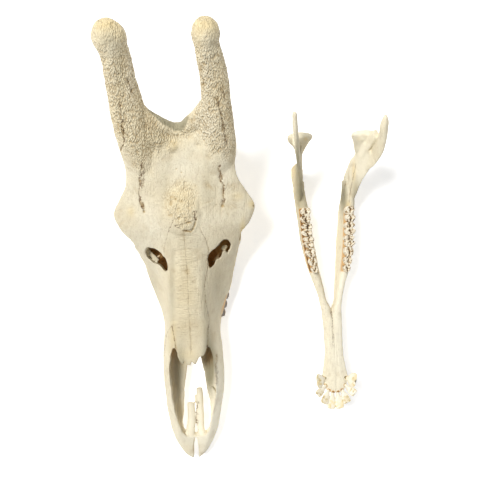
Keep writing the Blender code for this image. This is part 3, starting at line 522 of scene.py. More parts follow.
def sweep(name, path, across, steps=4, sides=16):
    """A bar along a path of x, y, z, half-width along the across direction, half-thickness."""
    rows = curve_through(path, steps)
    points, wide, thick = rows[:, :3], rows[:, 3:4], rows[:, 4:5]
    along = np.gradient(points, axis=0)
    along /= np.linalg.norm(along, axis=1, keepdims=True)
    side = across - along * (along @ np.asarray(across, float))[:, None]
    side /= np.linalg.norm(side, axis=1, keepdims=True)
    up = np.cross(along, side)
    turn = np.linspace(0, 2 * math.pi, sides, endpoint=False)
    return skin(name, [
        p + np.outer(np.cos(turn), a * s) + np.outer(np.sin(turn), b * u)
        for p, a, b, s, u in zip(points, wide, thick, side, up)
    ])


def flipped(path, side):
    """The path on the animal's left for side 1, on its right for side -1."""
    return [(side * row[0], *row[1:]) for row in path]


def ball(name, centre, half_sizes, side=1):
    mesh = bmesh.new()
    place = Matrix.Translation(Vector((side * centre[0], *centre[1:])) * MM)
    size = Matrix.Diagonal((*(r * MM for r in half_sizes), 1))
    bmesh.ops.create_uvsphere(mesh, u_segments=48, v_segments=32, radius=1, matrix=place @ size)
    return add_object(name, mesh)


def prism(name, outline, low, high):
    """An upright prism over an outline seen from above."""
    return skin(name, [[(x, y, z) for x, y in outline] for z in (low, high)])


def grow_askew(pieces, bend, skew):
    """Bends the pieces the way the bone grew."""
    for piece in pieces:
        spots = np.empty(3 * len(piece.data.vertices), np.float32)
        piece.data.vertices.foreach_get("co", spots)
        spots = spots.reshape(-1, 3)
        x, y = spots[:, 0].copy(), spots[:, 1] / MM
        spots[:, 0] = x + MM * np.interp(y, *zip(*bend))
        spots[:, 1] += x * np.interp(y, *zip(*skew))
        piece.data.vertices.foreach_set("co", spots.ravel())
    return pieces


def freeze(body):
    """The modifiers of body become its mesh."""
    graph = bpy.context.evaluated_depsgraph_get()
    body.data = bpy.data.meshes.new_from_object(body.evaluated_get(graph))
    body.modifiers.clear()


def discard(pieces):
    for piece in pieces:
        bpy.data.objects.remove(piece)


def carve(body, cutters):
    """Takes the cutters out of body, one after another."""
    for cutter in cutters:
        cut = body.modifiers.new(cutter.name, "BOOLEAN")
        cut.operation = "DIFFERENCE"
        cut.object = cutter
        freeze(body)
    discard(cutters)


def join(name, pieces):
    """One object of all the pieces' meshes, which may overlap."""
    mesh = bmesh.new()
    for piece in pieces:
        mesh.from_mesh(piece.data)
    discard(pieces)
    return add_object(name, mesh)


def paired(make, label, shape, *rest):
    """A form on the animal's left and its mirror image on the right."""
    if make is ball:
        return [ball(label, *shape, side) for side in (1, -1)]
    return [make(label, flipped(shape, side), *rest) for side in (1, -1)]


def jaw_body():
    """The jaw's body from the last tooth to the chin, as rounded rectangles."""
    turn = np.linspace(0, 2 * math.pi, 40, endpoint=False)
    across = np.sign(np.cos(turn)) * np.abs(np.cos(turn)) ** 0.75
    upward = np.sign(np.sin(turn)) * np.abs(np.sin(turn)) ** 0.75
    rings = []
    for y, x, half, low, high, lean in curve_through(JAW_BODY, 8):
        middle, tall = (low + high) / 2, (high - low) / 2
        rings.append(np.column_stack([
            x + half * across + lean * upward, np.full(len(turn), y), middle + tall * upward,
        ]))
    return skin("body", rings)


def ramus(lean):
    """The upright blade behind the teeth, as flat ovals stacked upwards."""
    low, high = RAMUS[4][0], RAMUS[-1][0]
    turn = np.linspace(0, 2 * math.pi, 48, endpoint=False)
    rings = []
    for z, front, front_x, back, back_x, half in curve_through(RAMUS, 8):
        along = (front + back) / 2 + (back - front) / 2 * np.cos(turn)
        front_x += lean * max(0, (z - low) / (high - low))
        middle = (front_x + back_x) / 2 + (back_x - front_x) / 2 * np.cos(turn)
        across = middle + half * np.sign(np.sin(turn)) * np.abs(np.sin(turn)) ** 0.7
        rings.append(np.column_stack([across, along, np.full(len(turn), z)]))
    return skin("ramus", rings)


def lower_row_x(y):
    ys, xs = zip(*sorted(LOWER_ROW))
    return float(np.interp(y, ys, xs))


def mirrored(body, side):
    """The body on the animal's left for side 1, mirrored to its right for side -1."""
    if side < 0:
        body.data.transform(Matrix.Diagonal((-1, 1, 1, 1)))
        body.data.flip_normals()
    return body


def rise(values, low, high):
    """0 below low, 1 above high, and smooth between."""
    t = np.clip((values - low) / (high - low), 0, 1)
    return t * t * (3 - 2 * t)


def scatter(cells, seed):
    """A fixed value from -1 to 1 for each cell of a grid."""
    x, y, z = (cells + 4096).astype(np.uint64).T
    mixed = x * np.uint64(73856093) ^ y * np.uint64(19349663) ^ z * np.uint64(83492791)
    mixed = (mixed ^ np.uint64(seed * 2654435761)) * np.uint64(6364136223846793005)
    mixed = (mixed ^ (mixed >> np.uint64(29))) * np.uint64(1442695040888963407)
    return (mixed >> np.uint64(40)).astype(float) / 2**23 - 1


def noise(spots, size, seed):
    """A soft pattern from -1 to 1 whose lumps are that size."""
    at = np.asarray(spots, float) / size
    cells = np.floor(at).astype(np.int64)
    t = at - cells
    t = t * t * (3 - 2 * t)
    total = np.zeros(len(at))
    for corner in np.ndindex(2, 2, 2):
        share = np.prod(np.where(corner, t, 1 - t), axis=1)
        total += share * scatter(cells + corner, seed)
    return total


def placing(at, turn):
    """From a bone's own frame, in millimetres, to the table."""
    return Matrix.Translation(Vector((*at, 0)) * MM) @ Matrix.Rotation(math.radians(turn), 4, "Z")


def in_photo(spots):
    """Where the photograph shows points on the table given in millimetres."""
    x, y, z = spots.T
    scale = PIXELS_PER_SLOPE / (CAMERA[2] - z)
    return PHOTO_MIDDLE + (x - CAMERA[0]) * scale, PHOTO_MIDDLE - (y - CAMERA[1]) * scale


def read_spots(body):
    spots = np.empty(3 * len(body.data.vertices), np.float32)
    body.data.vertices.foreach_get("co", spots)
    return spots.reshape(-1, 3).astype(float) / MM


def read_normals(body):
    normals = np.empty(3 * len(body.data.vertices), np.float32)
    body.data.vertex_normals.foreach_get("vector", normals)
    return normals.reshape(-1, 3).astype(float)


def write_spots(body, spots):
    body.data.vertices.foreach_set("co", (spots * MM).astype(np.float32).ravel())
    body.data.update()


def note(body, label, values):
    """Keeps a value at each of the body's points for its material."""
    body.data.attributes.new(label, "FLOAT", "POINT").data.foreach_set("value", values.astype(np.float32))


def along_lines(u, v, lines):
    """Signed distance to the nearest line in pixels, and each line's depth and darkness there."""
    best = np.full(len(u), 99.0)
    deep = np.zeros(len(u))
    dark = np.zeros(len(u))
    for i, (line, depth, tone) in enumerate(lines):
        line = sorted(line, key=lambda spot: spot[1])
        across, down = zip(*line)
        here = rise(v, down[0] - 2, down[0] + 1) * (1 - rise(v, down[-1] - 1, down[-1] + 2))
        off = (u - np.interp(v, down, across)) * (1 - 2 * (i % 2))
        nearer = (here > 0) & (np.abs(off) < np.abs(best))
        best = np.where(nearer, off, best)
        deep = np.where(nearer, depth * here, deep)
        dark = np.where(nearer, tone * here, dark)
    return best, deep, dark


def inside(u, v, outline):
    """Distance in pixels to an outline, positive inside it."""
    near = np.full(len(u), 1e9)
    odd = np.zeros(len(u), bool)
    ends = np.roll(outline, -1, axis=0)
    for (au, av), (bu, bv) in zip(outline, ends):
        du, dv = bu - au, bv - av
        t = np.clip(((u - au) * du + (v - av) * dv) / (du * du + dv * dv), 0, 1)
        near = np.minimum(near, np.hypot(u - au - t * du, v - av - t * dv))
        between = (av > v) != (bv > v)
        odd ^= between & (u < au + du * (v - av) / (dv if dv else 1e-9))
    return np.where(odd, near, -near)


def upright_strip(u, v, strip, power):
    """1 on an upright strip of the photograph, falling to 0 at its sides and ends."""
    middle, half, start, full, fading, end = strip
    return np.exp(-((u - middle) / half) ** power) * rise(v, start, full) * (1 - rise(v, fading, end))


def tinted(u, v, spots):
    """How strongly the tint spots show at each point."""
    total = np.zeros(len(u))
    for cu, cv, ru, rv, strength in spots:
        total += strength * np.exp(-((u - cu) / ru) ** 2 - ((v - cv) / rv) ** 2)
    return total


def ragged(outline, size, seed):
    """An outline worn into small teeth."""
    fine = loop_through(np.array(outline, float), 7)
    flat = np.column_stack([fine, np.zeros(len(fine))])
    return fine + size * np.column_stack([noise(flat, 3.0, seed), noise(flat, 3.0, seed + 1)])


def melt(body, voxel):
    """The body's overlapping forms become one smooth bone."""
    skin_over = body.modifiers.new("melt", "REMESH")
    skin_over.mode = "VOXEL"
    skin_over.voxel_size = voxel * MM
    smooth = body.modifiers.new("smooth", "SMOOTH")
    smooth.factor = SMOOTHING
    smooth.iterations = SMOOTHING_PASSES
    freeze(body)


def thin_out(body, triangles):
    """Keeps that many triangles, where the shape needs them most."""
    body.data.calc_loop_triangles()
    facets = body.modifiers.new("facets", "DECIMATE")
    facets.ratio = min(1.0, triangles / len(body.data.loop_triangles))
    freeze(body)


def sunk(path):
    """An ossicone whose foot lies deeper and so fades into the forehead."""
    foot = [(x, y - drop, z - drop, wide, deep) for (x, y, z, wide, deep), drop in zip(path, FOOT_SINK)]
    return foot + path[len(FOOT_SINK):]


def shape_cranium():
    sideways, lengthways = (1, 0, 0), (0, 1, 0)
    shell = loft("shell", HEAD, along=8, around=8)
    hollows = [
        loft("nasal_cavity", CAVITY, along=8, around=6),
        ball("choanae", *CHOANAE),
        ball("foramen_magnum", *FORAMEN_MAGNUM),
        *paired(ball, "orbit", ORBIT),
    ]
    forms = [
        ball("basioccipital", *BASIOCCIPITAL),
        ball("occipital_knob", *OCCIPITAL_KNOB),
        *paired(sweep, "arch", ZYGOMATIC_ARCH, sideways),
        *paired(sweep, "bar", POSTORBITAL_BAR, sideways),
        *paired(sweep, "mastoid_crest", MASTOID_CREST, lengthways),
        *paired(sweep, "paroccipital", PAROCCIPITAL, sideways),
        *paired(sweep, "ear_tube", EAR_TUBE, lengthways),
        *paired(sweep, "pterygoid", PTERYGOID_PLATE, sideways),
        *paired(ball, "condyle", CONDYLE),
        *paired(ball, "bulla", BULLA),
    ]
    grow_askew([shell, *hollows, *forms], HEAD_BEND, HEAD_SKEW)
    graph = bpy.context.evaluated_depsgraph_get()
    caves = [BVHTree.FromObject(hollow, graph) for hollow in hollows[:3]]
    hollows += [
        prism("nose_opening", ragged(NOSE_OPENING, 0.8, 31), *NOSE_CUT),
        prism("palate_slot", ragged(PALATE_SLOT, 0.6, 33), *PALATE_CUT),
        prism("tip_gap", TIP_GAP, *PALATE_CUT),
        prism("left_vacuity", ragged(LEFT_VACUITY, 1.6, 35), *VACUITY_CUT),
        prism("right_vacuity", ragged(RIGHT_VACUITY, 1.6, 37), *VACUITY_CUT),
    ]
    carve(shell, hollows)
    forms += [
        shell,
        sweep("ossicone", sunk(LEFT_OSSICONE), sideways, steps=6, sides=40),
        sweep("ossicone", sunk(RIGHT_OSSICONE), sideways, steps=6, sides=40),
        sweep("saddle", SADDLE, lengthways, steps=6, sides=32),
        sweep("slope", SADDLE_SLOPE, lengthways, steps=6, sides=32),
        sweep("rod", LEFT_ROD, sideways, steps=8, sides=24),
        sweep("rod", RIGHT_ROD, sideways, steps=8, sides=24),
        *(sweep("splinter", path, sideways, steps=6, sides=12) for path in SPLINTERS),
        ball("frontal_knob", *FRONTAL_KNOB),
        *(ball("median_horn", *lump) for lump in MEDIAN_HORN),
    ]
    bone = join("skull_cranium", forms)
    melt(bone, CRANIUM_VOXEL)
    return bone, caves


def streaks(spots, along, size, seed):
    """A pattern drawn out along a direction: long ridges of that width."""
    along = np.array(along, float) / np.linalg.norm(along)
    run = spots @ along
    flat = spots - np.outer(run, along)
    return noise(flat + np.outer(run * 0.16, along), size, seed)


def cranium_relief(spots, normals, u, v):
    """How far weathering and growth push each point of the cranium in or out."""
    x, y, z = spots.T
    shown = rise(normals[:, 2], 0.0, 0.35)
    push = 0.8 * noise(spots, 24, 23) + 0.45 * noise(spots, 12, 1) + 0.18 * noise(spots, 5, 2)
    grainy = granular(spots, normals, u, v)
    tall = rise(z, 262, 296)
    pebbles = 0.5 * noise(spots, 8, 3) + 0.4 * noise(spots, 3.6, 4)
    ridges = 0.9 * streaks(spots, (0.1, 0.75, 0.65), 3.6, 5) + 0.25 * noise(spots, 3.8, 18)
    cap = rise(z, 338, 350)
    push += grainy * (tall * (1 - 0.75 * cap) * pebbles + (1 - tall) * ridges)
    nose = 1 - rise(y, -60, -10)
    push += nose * 0.18 * noise(spots * (1, 0.1, 1), 4, 6)
    wrinkled = upright_strip(u, v, FINE_WRINKLES, 2) * shown
    push += wrinkled * 0.7 * noise(spots * (0.3, 1, 1), 4.2, 16)
    for side_u, side_v in FAN_MIDDLES:
        out = np.hypot(u - side_u, v - side_v)
        turned = np.arctan2(v - side_v, u - side_u)
        fan = noise(np.column_stack([turned * 15, out / 14, 0 * out]), 1.0, 7)
        push += np.exp(-(out / 24) ** 2) * rise(out, 3, 9) * shown * 0.75 * fan
    crust = inside(u, v, HORN_CRUST) + 2.5 * noise(spots, 9, 19)
    covered = rise(crust, -2.5, 4.0) * shown * rise(z, 150, 180) * (1 - rise(z, 235, 250))
    lumps = 0.7 + 1.0 * noise(spots, 5, 8) - 1.6 * rise(noise(spots, 6.5, 9), 0.2, 0.6)
    push += covered * lumps * (0.6 + 0.8 * rise(v, *CRUST_THICKENS))
    across, slope, *down = LIP_LINE
    lip = np.exp(-((inside(u, v, HORN_CRUST) + 0.6) / 0.9) ** 2) * rise(v - slope * (across - u), *down)
    push -= 2.6 * lip * shown * rise(z, 140, 160)
    for lines, width, stray in ((SEAMS, 0.8, SEAM_STRAY), (CRACKS, 1.1, CRACK_STRAY)):
        off, deep, _ = along_lines(u + stray * noise(spots, 7, 10), v, lines)
        broken = 0.6 + 0.5 * noise(spots, 6, 20)
        push -= shown * deep * broken * np.exp(-(off / width) ** 2)
    for cu, cv, radius, depth in HOLES:
        push -= shown * depth * np.exp(-((u - cu) ** 2 + (v - cv) ** 2) / radius**2)
    return push


def grooves(normals, u, v):
    """How deep the soft grooves beside the nasal bones run."""
    off, deep, _ = along_lines(u, v, GROOVES)
    return deep * np.exp(-(off / 3.4) ** 2) * rise(normals[:, 2], 0.0, 0.35)


def granular(spots, normals, u, v):
    """1 on the granular bone of the horns, 0 on smooth bone."""
    z = spots[:, 2]
    tall = rise(z, 240, 262)
    seen_so = rise(inside(u, v, GRANULAR) + 5 * noise(spots, 13, 21), -9, 11)
    return tall + (1 - tall) * seen_so * rise(z, 168, 190) * rise(normals[:, 2], -0.3, 0.1)


def tint(body, spots, normals, u, v, steepest=-0.1):
    """What the bone's material reads at each point, painted light and painted shade among it; the photograph
    shows no face steeper than that.
    """
    shown = rise(normals[:, 2], steepest, steepest + 0.3)
    off, _, dark = along_lines(u, v, SEAMS)
    wide, _, deep = along_lines(u + CRACK_STRAY * noise(spots, 7, 10), v, CRACKS)
    off = np.where(np.abs(wide) / CRACK_WIDTH < np.abs(off), wide / CRACK_WIDTH, off)
    dark = np.maximum(dark, deep)
    note(body, "seam", off)
    note(body, "seam_tone", dark * shown)
    note(body, "warm", np.clip(tinted(u, v, WARM_SPOTS), 0, 1))
    # Painted light: paler, brighter bone at these spots
    note(body, "painted_light", np.clip(tinted(u, v, PAINTED_LIGHT_SPOTS), 0, 1))
    # Painted shade and stain on the slope behind the saddle
    slope = rise(inside(u, v, BACK_SLOPE) + 0.8 * noise(spots, 8, 22), -0.8, 0.8) * 0.85
    slope = slope * rise(spots[:, 2], 186, 200)
    # Grey-olive stain and painted shade, at the tint spots and on the slope behind the saddle
    note(body, "grey_stain_and_shade", np.clip(tinted(u, v, GREY_STAIN_AND_SHADE_SPOTS) + slope, 0, 1) * shown)


def survey(bone, place):
    """The bone's points and normals, and where the photograph shows the points."""
    spots, normals = read_spots(bone), read_normals(bone)
    u, v = in_photo(spots @ np.array(place.to_3x3()).T + np.array(place.translation) / MM)
    return spots, normals, u, v


def cave_walls(spots, caves):
    """1 on the wall of a cave, falling to 0 away from it."""
    reach = CAVE_REACH * MM
    walls = np.zeros(len(spots))
    for cave in caves:
        for i, spot in enumerate(spots):
            found = cave.find_nearest(Vector(spot * MM), reach)
            if found[0] is not None:
                walls[i] = max(walls[i], 1 - found[3] / reach)
    return walls


def build_cranium(skins):
    bone, caves = shape_cranium()
    place = placing(CRANIUM_AT, CRANIUM_TURN)
    spots, normals, u, v = survey(bone, place)
    push = cranium_relief(spots, normals, u, v) - grooves(normals, u, v)
    write_spots(bone, spots + normals * push[:, None])
    thin_out(bone, CRANIUM_TRIANGLES)

    spots, normals, u, v = survey(bone, place)
    tint(bone, spots, normals, u, v)
    push = cranium_relief(spots, normals, u, v)
    _, y, z = spots.T
    # Painted shade and brown on the walls of the nasal cavity, choanae and foramen magnum, fading towards the
    # nose's front, on the floors of the gaps, and at the painted shade spots
    walls = cave_walls(spots, caves)
    buried = rise(walls, 0.2, 0.7) * (1 - rise(normals[:, 2], 0.75, 0.98) * (z < 50))
    front = rise(v, *NOSE_FADE) * (y < -200)
    deep = 0.5 * buried * (1 - 0.85 * front)
    floor = np.maximum(rise(walls, 0.1, 0.5), rise(normals[:, 2], 0.1, 0.4) * rise(z, 45, 60))
    for gap in GAPS:
        sunken = rise(inside(u, v, gap), -2.5, -0.5) * (1 - rise(z, 96, 104)) * floor
        deep = np.maximum(deep, 0.83 * sunken)
    note(bone, "dark", np.clip(deep + tinted(u, v, PAINTED_SHADE_SPOTS) * (z < 60), 0, 1))
    # Painted shade in the hollows that the relief pushes in
    note(bone, "pit", np.clip(-push / 2.2, 0, 1))
    crust = 0.55 * rise(inside(u, v, HORN_CRUST) + 2.5 * noise(spots, 9, 19), -3, 5) * (z > 160) * (z < 230)
    grains = granular(spots, normals, u, v) * (1 - 0.5 * rise(z, 330, 352))
    note(bone, "grain", np.clip(grains + crust, 0, 1))
    nasal = upright_strip(u, v, NASAL_WRINKLES, 4) * rise(z, 60, 80)
    note(bone, "wrinkle", nasal * rise(normals[:, 2], 0.2, 0.5))
    bone.data.transform(place)
    dress(bone, skins["cranium"], "cranium")


def shape_jaw(side, hand):
    sideways = (1, 0, 0)
    forms = [
        jaw_body(),
        ramus(RAMUS_LEAN[side]),
        sweep("coronoid", CORONOID[side], sideways, steps=6, sides=32),
        sweep("condyle", CONDYLE_NECK, sideways, steps=6, sides=32),
        sweep("notch_web", NOTCH_WEB[side], sideways, steps=6, sides=32),
    ]
    bone = mirrored(join(f"skull_jaw_{hand}", forms), side)
    melt(bone, JAW_VOXEL)
    spots = read_spots(bone)
    spots[:, 0] = side * np.maximum(side * spots[:, 0], CHIN_GAP)
    write_spots(bone, spots)
    grow_askew([bone], JAW_BEND, NO_SKEW)
    return bone


def from_midline(x, y):
    """How far points lie from the line where the jaw's halves meet."""
    return np.abs(x - np.interp(y, *zip(*JAW_BEND)))


def from_row(x, y):
    """How far points lie outwards from the middle line of the cheek teeth."""
    return from_midline(x, y) - np.interp(y, *zip(*sorted(LOWER_ROW)))


def jaw_relief(spots, normals, u, v, side):
    x, y, z = spots.T
    push = 0.5 * noise(spots, 18, 24) + 0.35 * noise(spots, 9, 11) + 0.18 * noise(spots, 4.5, 12)
    push += 0.3 * noise(spots * (1, 0.15, 1), 3.4, 13) * (1 - rise(y, 40, 90))
    scars = rise(y, 90, 120) * (1 - rise(z, 90, 120))
    push += scars * 0.8 * noise(spots * (0.5, 1, 0.3), 7, 14)
    off, deep, _ = along_lines(u + 0.4 * noise(spots, 7, 10), v, SEAMS)
    push -= deep * np.exp(-(off / 0.7) ** 2) * rise(normals[:, 2], 0.0, 0.35)
    gum = from_row(x, y)
    beside = rise(z, 66, 72) * (y > -76) * (y < 72)
    push -= beside * 1.6 * np.exp(-((np.abs(gum) - 11) / 1.4) ** 2)
    seam = from_midline(x, y)
    return push * rise(seam, 0.3, 1.5)


def build_jaw(side, hand, skins):
    bone = shape_jaw(side, hand)
    place = placing(JAW_AT, JAW_TURN)
    spots, normals, u, v = survey(bone, place)
    write_spots(bone, spots + normals * jaw_relief(spots, normals, u, v, side)[:, None])
    thin_out(bone, JAW_TRIANGLES)
    spots, normals, u, v = survey(bone, place)
    tint(bone, spots, normals, u, v, -0.45)
    push = jaw_relief(spots, normals, u, v, side)
    x, y, z = spots.T
    gum = from_row(x, y)
    # Painted shade along the sockets of the cheek teeth and round the roots of the front teeth
    beside = rise(z, 60, 70) * rise(y, -67, -63) * (1 - rise(y, 64, 67))
    outward = rise(gum, 3, 7) if side < 0 else 0.3
    dark = beside * (0.62 + 0.38 * outward) * (1 - rise(np.abs(gum), 9, 11.5))
    for _, base, tip, _ in FRONT_TEETH:
        bend = np.interp(base[1], *zip(*JAW_BEND))
        root = np.array(base) + 0.12 * np.subtract(tip, base)
        out = np.hypot(x - bend - side * root[0], y - root[1]) + 0.7 * noise(spots, 3, 31)
        dark = np.maximum(dark, 0.95 * (1 - rise(out, 2.6, 4.2)))
    note(bone, "dark", dark)
    # Painted shade in the hollows that the relief pushes in
    note(bone, "pit", np.clip(-push / 2.0, 0, 1))
    note(bone, "grain", np.zeros(len(spots)))
    bone.data.transform(place)
    dress(bone, skins["jaw"], f"lower_jaw_{hand}")


def dress(piece, skin_of, node):
    """Sets the piece's material, smooth shading and place among the bodies."""
    piece.data.materials.clear()
    piece.data.materials.append(skin_of)
    piece.data.shade_smooth()
    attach(piece, "root")
    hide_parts(node)


def crown_form(a, q):
    """A lobe's depth below its crests, in shares, and how stained and shaded it is: painted shade darkens its
    deepest valleys.

    a runs from the hollow side at -1 to the bulging side at 1, and q along the lobe from -1 to 1.
    """
    fold = np.abs(q) ** 1.4
    bulging = 0.66 - 0.66 * fold
    hollow = -0.7 + 0.46 * fold
    outer = np.exp(-((a - bulging) / 0.16) ** 2)
    inner = np.exp(-((a - hollow) / 0.15) ** 2) * (1.05 - 0.2 * q**2)
    middle = 0.5 * (bulging + hollow)
    lake = np.exp(-((a - middle) / 0.1) ** 2) * (1 - q**2)
    rib = np.exp(-(q / 0.16) ** 2) * rise(np.abs(a), 0.1, 0.4)
    depth = 0.62 - 0.62 * np.maximum(np.maximum(outer, inner), 0.75 * rib) + 0.4 * lake
    core = np.exp(-((a - bulging) / 0.09) ** 2) + np.exp(-((a - hollow) / 0.09) ** 2)
    # Stain along the crests and in the lake, and painted shade darkest in the deepest valleys
    stain_and_shade = 0.55 * lake + 0.42 * core * (1 - q**2) ** 2 + 0.95 * rise(depth, 0.38, 0.8)
    return depth, np.clip(stain_and_shade, 0, 1)


def cheek_tooth(name, root_at, crown_at, size, heights, lobes, bulge, turn=0.0, wall_shade=0.0):
    """A cheek tooth: crescent crests on each lobe, over walls that narrow into the root."""
    root, neck, crown = heights
    up = 1 if crown > root else -1
    b = np.concatenate([[-1.0], np.linspace(-0.985, 0.985, 22 * lobes + 1), [1.0]])[:, None]
    q = ((b * 0.999 + 1) * lobes / 2) % 1 * 2 - 1
    ends = np.where(np.abs(b) > 0.99, 0.8, 1.0)
    share = np.linspace(-1, 1, 37)[None, :]
    narrowing = np.where(share > 0, 0.5, 0.24)
    a = share * (1 - narrowing * np.abs(q) ** 1.6) * ends
    worn = np.stack(np.broadcast_arrays(a * 6, b * size[0] / 2, 0 * a), -1).reshape(-1, 3)
    wander = noise(worn + np.array(crown_at + (0,)) * 0.37, 2.6, 25).reshape(a.shape)
    depth, stain_and_shade = crown_form(a + 0.2 * wander, np.clip(q + 0.28 * wander, -1, 1))
    specks = noise(worn + np.array(crown_at + (9,)) * 0.61, 1.8, 29).reshape(a.shape)
    depth = np.maximum(depth + 0.1 * wander + 0.2 * specks, 0.02)
    stain_and_shade = stain_and_shade + 0.15 * wander + 0.75 * rise(specks, 0.2, 0.65) - 0.08
    edge = rise(np.abs(share), 0.9, 1.0) * np.ones_like(b)
    depth = CREST_DEPTH * depth + 1.6 * edge
    c, s = math.cos(turn), math.sin(turn)
    spin = np.array([[c, s], [-s, c]])
    half = np.array([bulge * size[1] / 2, size[0] / 2])
    tall = abs(crown - neck)

    def layer(a, b, down):
        flat = np.stack(np.broadcast_arrays(a, b), axis=-1) * half @ spin
        down = np.broadcast_to(down, flat.shape[:2])
        slip = np.minimum(down / tall, 1)[..., None]
        centre = np.array(crown_at) + slip * np.subtract(root_at, crown_at)
        return np.concatenate([flat + centre, (crown - up * down)[..., None]], -1)

    levels = [*WALL_LEVELS, (abs(crown - root) / tall, 0.62)]
    outer, inner = (
        [layer(rim * wide, b * (1 - 0.1 * part), tall * part + 2) for part, wide in levels]
        for rim in (a[:, -1:], a[:, :1])
    )
    rings = np.concatenate([layer(a, b, depth), *outer, *inner[::-1]], axis=1)
    # Painted shade on the walls: darker down towards the root and between the lobes, and darker still for
    # teeth given more of it
    lobe_gap = 0.7 * np.abs(q) ** 3
    wall = [np.full_like(b, 0.15 + wall_shade + 0.25 * part) + lobe_gap for part, _ in levels]
    tones = np.concatenate([stain_and_shade, *wall, *wall[::-1]], axis=1)
    tooth = skin(name, rings)
    note(tooth, "stain_and_shade", np.clip(tones, 0, 1).ravel())
    return tooth


def upper_teeth(skins):
    place = placing(CRANIUM_AT, CRANIUM_TURN)
    y = UPPER_ROW_FRONT
    for label, length, width, root_x, crown_x in UPPER_TEETH:
        middle = y + length / 2
        y += length
        lobes = 2 if "premolar" not in label else 1
        for side, hand in SIDES:
            tooth = cheek_tooth(
                f"tooth_upper_{hand}_{label}", (side * root_x, middle), (side * crown_x, middle),
                (length - 1.2, width), (UPPER_ROOT, UPPER_NECK, UPPER_CROWN + 0.2), lobes, -side,
                # Painted shade on the walls of the upper teeth
                wall_shade=0.85,
            )
            tooth.data.transform(place)
            dress(tooth, skins["cheek"], f"upper_{hand}_{label}")


def lower_teeth(side, hand, skins):
    place = placing(JAW_AT, JAW_TURN)
    y = LOWER_ROW_BACK
    for label, length, width in LOWER_TEETH:
        middle = y - length / 2
        lean = math.atan2(lower_row_x(y) - lower_row_x(y - length), length)
        at = (side * lower_row_x(middle), middle)
        y -= length
        tooth = cheek_tooth(
            f"tooth_lower_{hand}_{label}", at, at, (length - 0.8, width),
            (LOWER_ROOT, LOWER_NECK, LOWER_CROWN + 0.8), 1 if "premolar" in label else 2, side, side * lean,
        )
        grow_askew([tooth], JAW_BEND, NO_SKEW)
        tooth.data.transform(place)
        dress(tooth, skins["cheek"], f"lower_{hand}_{label}")


def front_tooth(name, base, tip, width, side):
    """A spade-shaped front tooth: a thin root in the bone, a neck, and a broad thin crown."""
    start = np.array([side * base[0], base[1], FRONT_ROOT_Z + 3])
    end = np.array([side * tip[0], tip[1], FRONT_TIP_Z])
    reach = end - start
    across = np.cross(reach, (0, 0, 1))
    shares = [
        (-0.45, 1.6, 1.6), (0.0, 2.8, 2.8), (0.26, 3.2, 3.2), (0.38, 0.34 * width, 3.4),
        (0.55, 0.5 * width, 3.3), (0.8, 0.55 * width, 2.6), (0.93, 0.53 * width, 1.8),
        (1.0, 0.46 * width, 1.0), (1.02, 0.34 * width, 0.5),
    ]
    if width > BROAD_TOOTH:
        shares[2:] = [
            (0.2, 0.2 * width, 3.2), (0.4, 0.42 * width, 3.4), (0.6, 0.51 * width, 3.3),
            (0.8, 0.53 * width, 2.6), (0.93, 0.46 * width, 1.8), (1.0, 0.36 * width, 1.0),
            (1.02, 0.2 * width, 0.5),
        ]
    path = [(*(start + share * reach), wide, thick) for share, wide, thick in shares]
    tooth = sweep(name, path, across, steps=5, sides=40)
    spots = read_spots(tooth)
    off = (spots - start) @ (across / np.linalg.norm(across)) / (0.5 * width)
    way = (spots - start) @ reach / (reach @ reach)
    cleft = 0.16 if width > BROAD_TOOTH else 0.03
    notch = cleft * np.exp(-((off - 0.1) / 0.16) ** 2) * rise(way, 0.3, 0.95)
    dish = 1.0 * rise(way, 0.35, 0.6) * (1 - rise(way, 0.8, 0.95)) * (1 - off**2) * (spots[:, 2] > 95)
    spots -= notch[:, None] * reach
    spots[:, 2] -= dish
    write_spots(tooth, spots)
    cloud = noise(spots, 3.4, 27)
    # Stained tips, and painted shade where the tooth leaves the bone
    stain_and_shade = (0.5 + 0.35 * cloud) * rise(way + 0.1 * cloud, 0.45, 0.7) + 0.9 * (1 - rise(way, 0.04, 0.18))
    note(tooth, "stain_and_shade", np.clip(stain_and_shade, 0, 1))
    return tooth


def front_teeth(side, hand, skins):
    place = placing(JAW_AT, JAW_TURN)
    for label, base, tip, width in FRONT_TEETH:
        tooth = front_tooth(f"tooth_lower_{hand}_{label}", base, tip, width, side)
        grow_askew([tooth], JAW_BEND, NO_SKEW)
        tooth.data.transform(place)
        dress(tooth, skins[label], f"lower_{hand}_{label}")


def add_node(tree, kind, values, **settings):
    """A shader node whose inputs take plain values or other nodes' outputs."""
    made = tree.nodes.new(kind)
    for label, value in settings.items():
        setattr(made, label, value)
    for socket, value in values.items():
        if isinstance(value, bpy.types.NodeSocket):
            tree.links.new(value, made.inputs[socket])
        else:
            made.inputs[socket].default_value = value
    return made


def pattern(tree, where, scale, detail=3.0, rough=0.55):
    """Soft noise from 0 to 1."""
    values = {"Vector": where, "Scale": scale, "Detail": detail, "Roughness": rough}
    return add_node(tree, "ShaderNodeTexNoise", values).outputs["Fac"]


def band(tree, value, low, high, start=0.0, end=1.0):
    """The value's run from low to high becomes start to end."""
    values = {"Value": value, "From Min": low, "From Max": high, "To Min": start, "To Max": end}
    return add_node(tree, "ShaderNodeMapRange", values).outputs["Result"]


def math_of(tree, kind, first, second=0.0):
    return add_node(tree, "ShaderNodeMath", {0: first, 1: second}, operation=kind).outputs[0]


def product(tree, first, second):
    return math_of(tree, "MULTIPLY", first, second)


def stretched(tree, where, scale):
    """Coordinates in which a pattern is long where the scale is small."""
    return add_node(tree, "ShaderNodeMapping", {"Vector": where, "Scale": scale}).outputs[0]


def mix(tree, share, first, second):
    """The first colour, with that share of the second over it."""
    return add_node(tree, "ShaderNodeMix", {0: share, 6: first, 7: second}, data_type="RGBA").outputs[2]


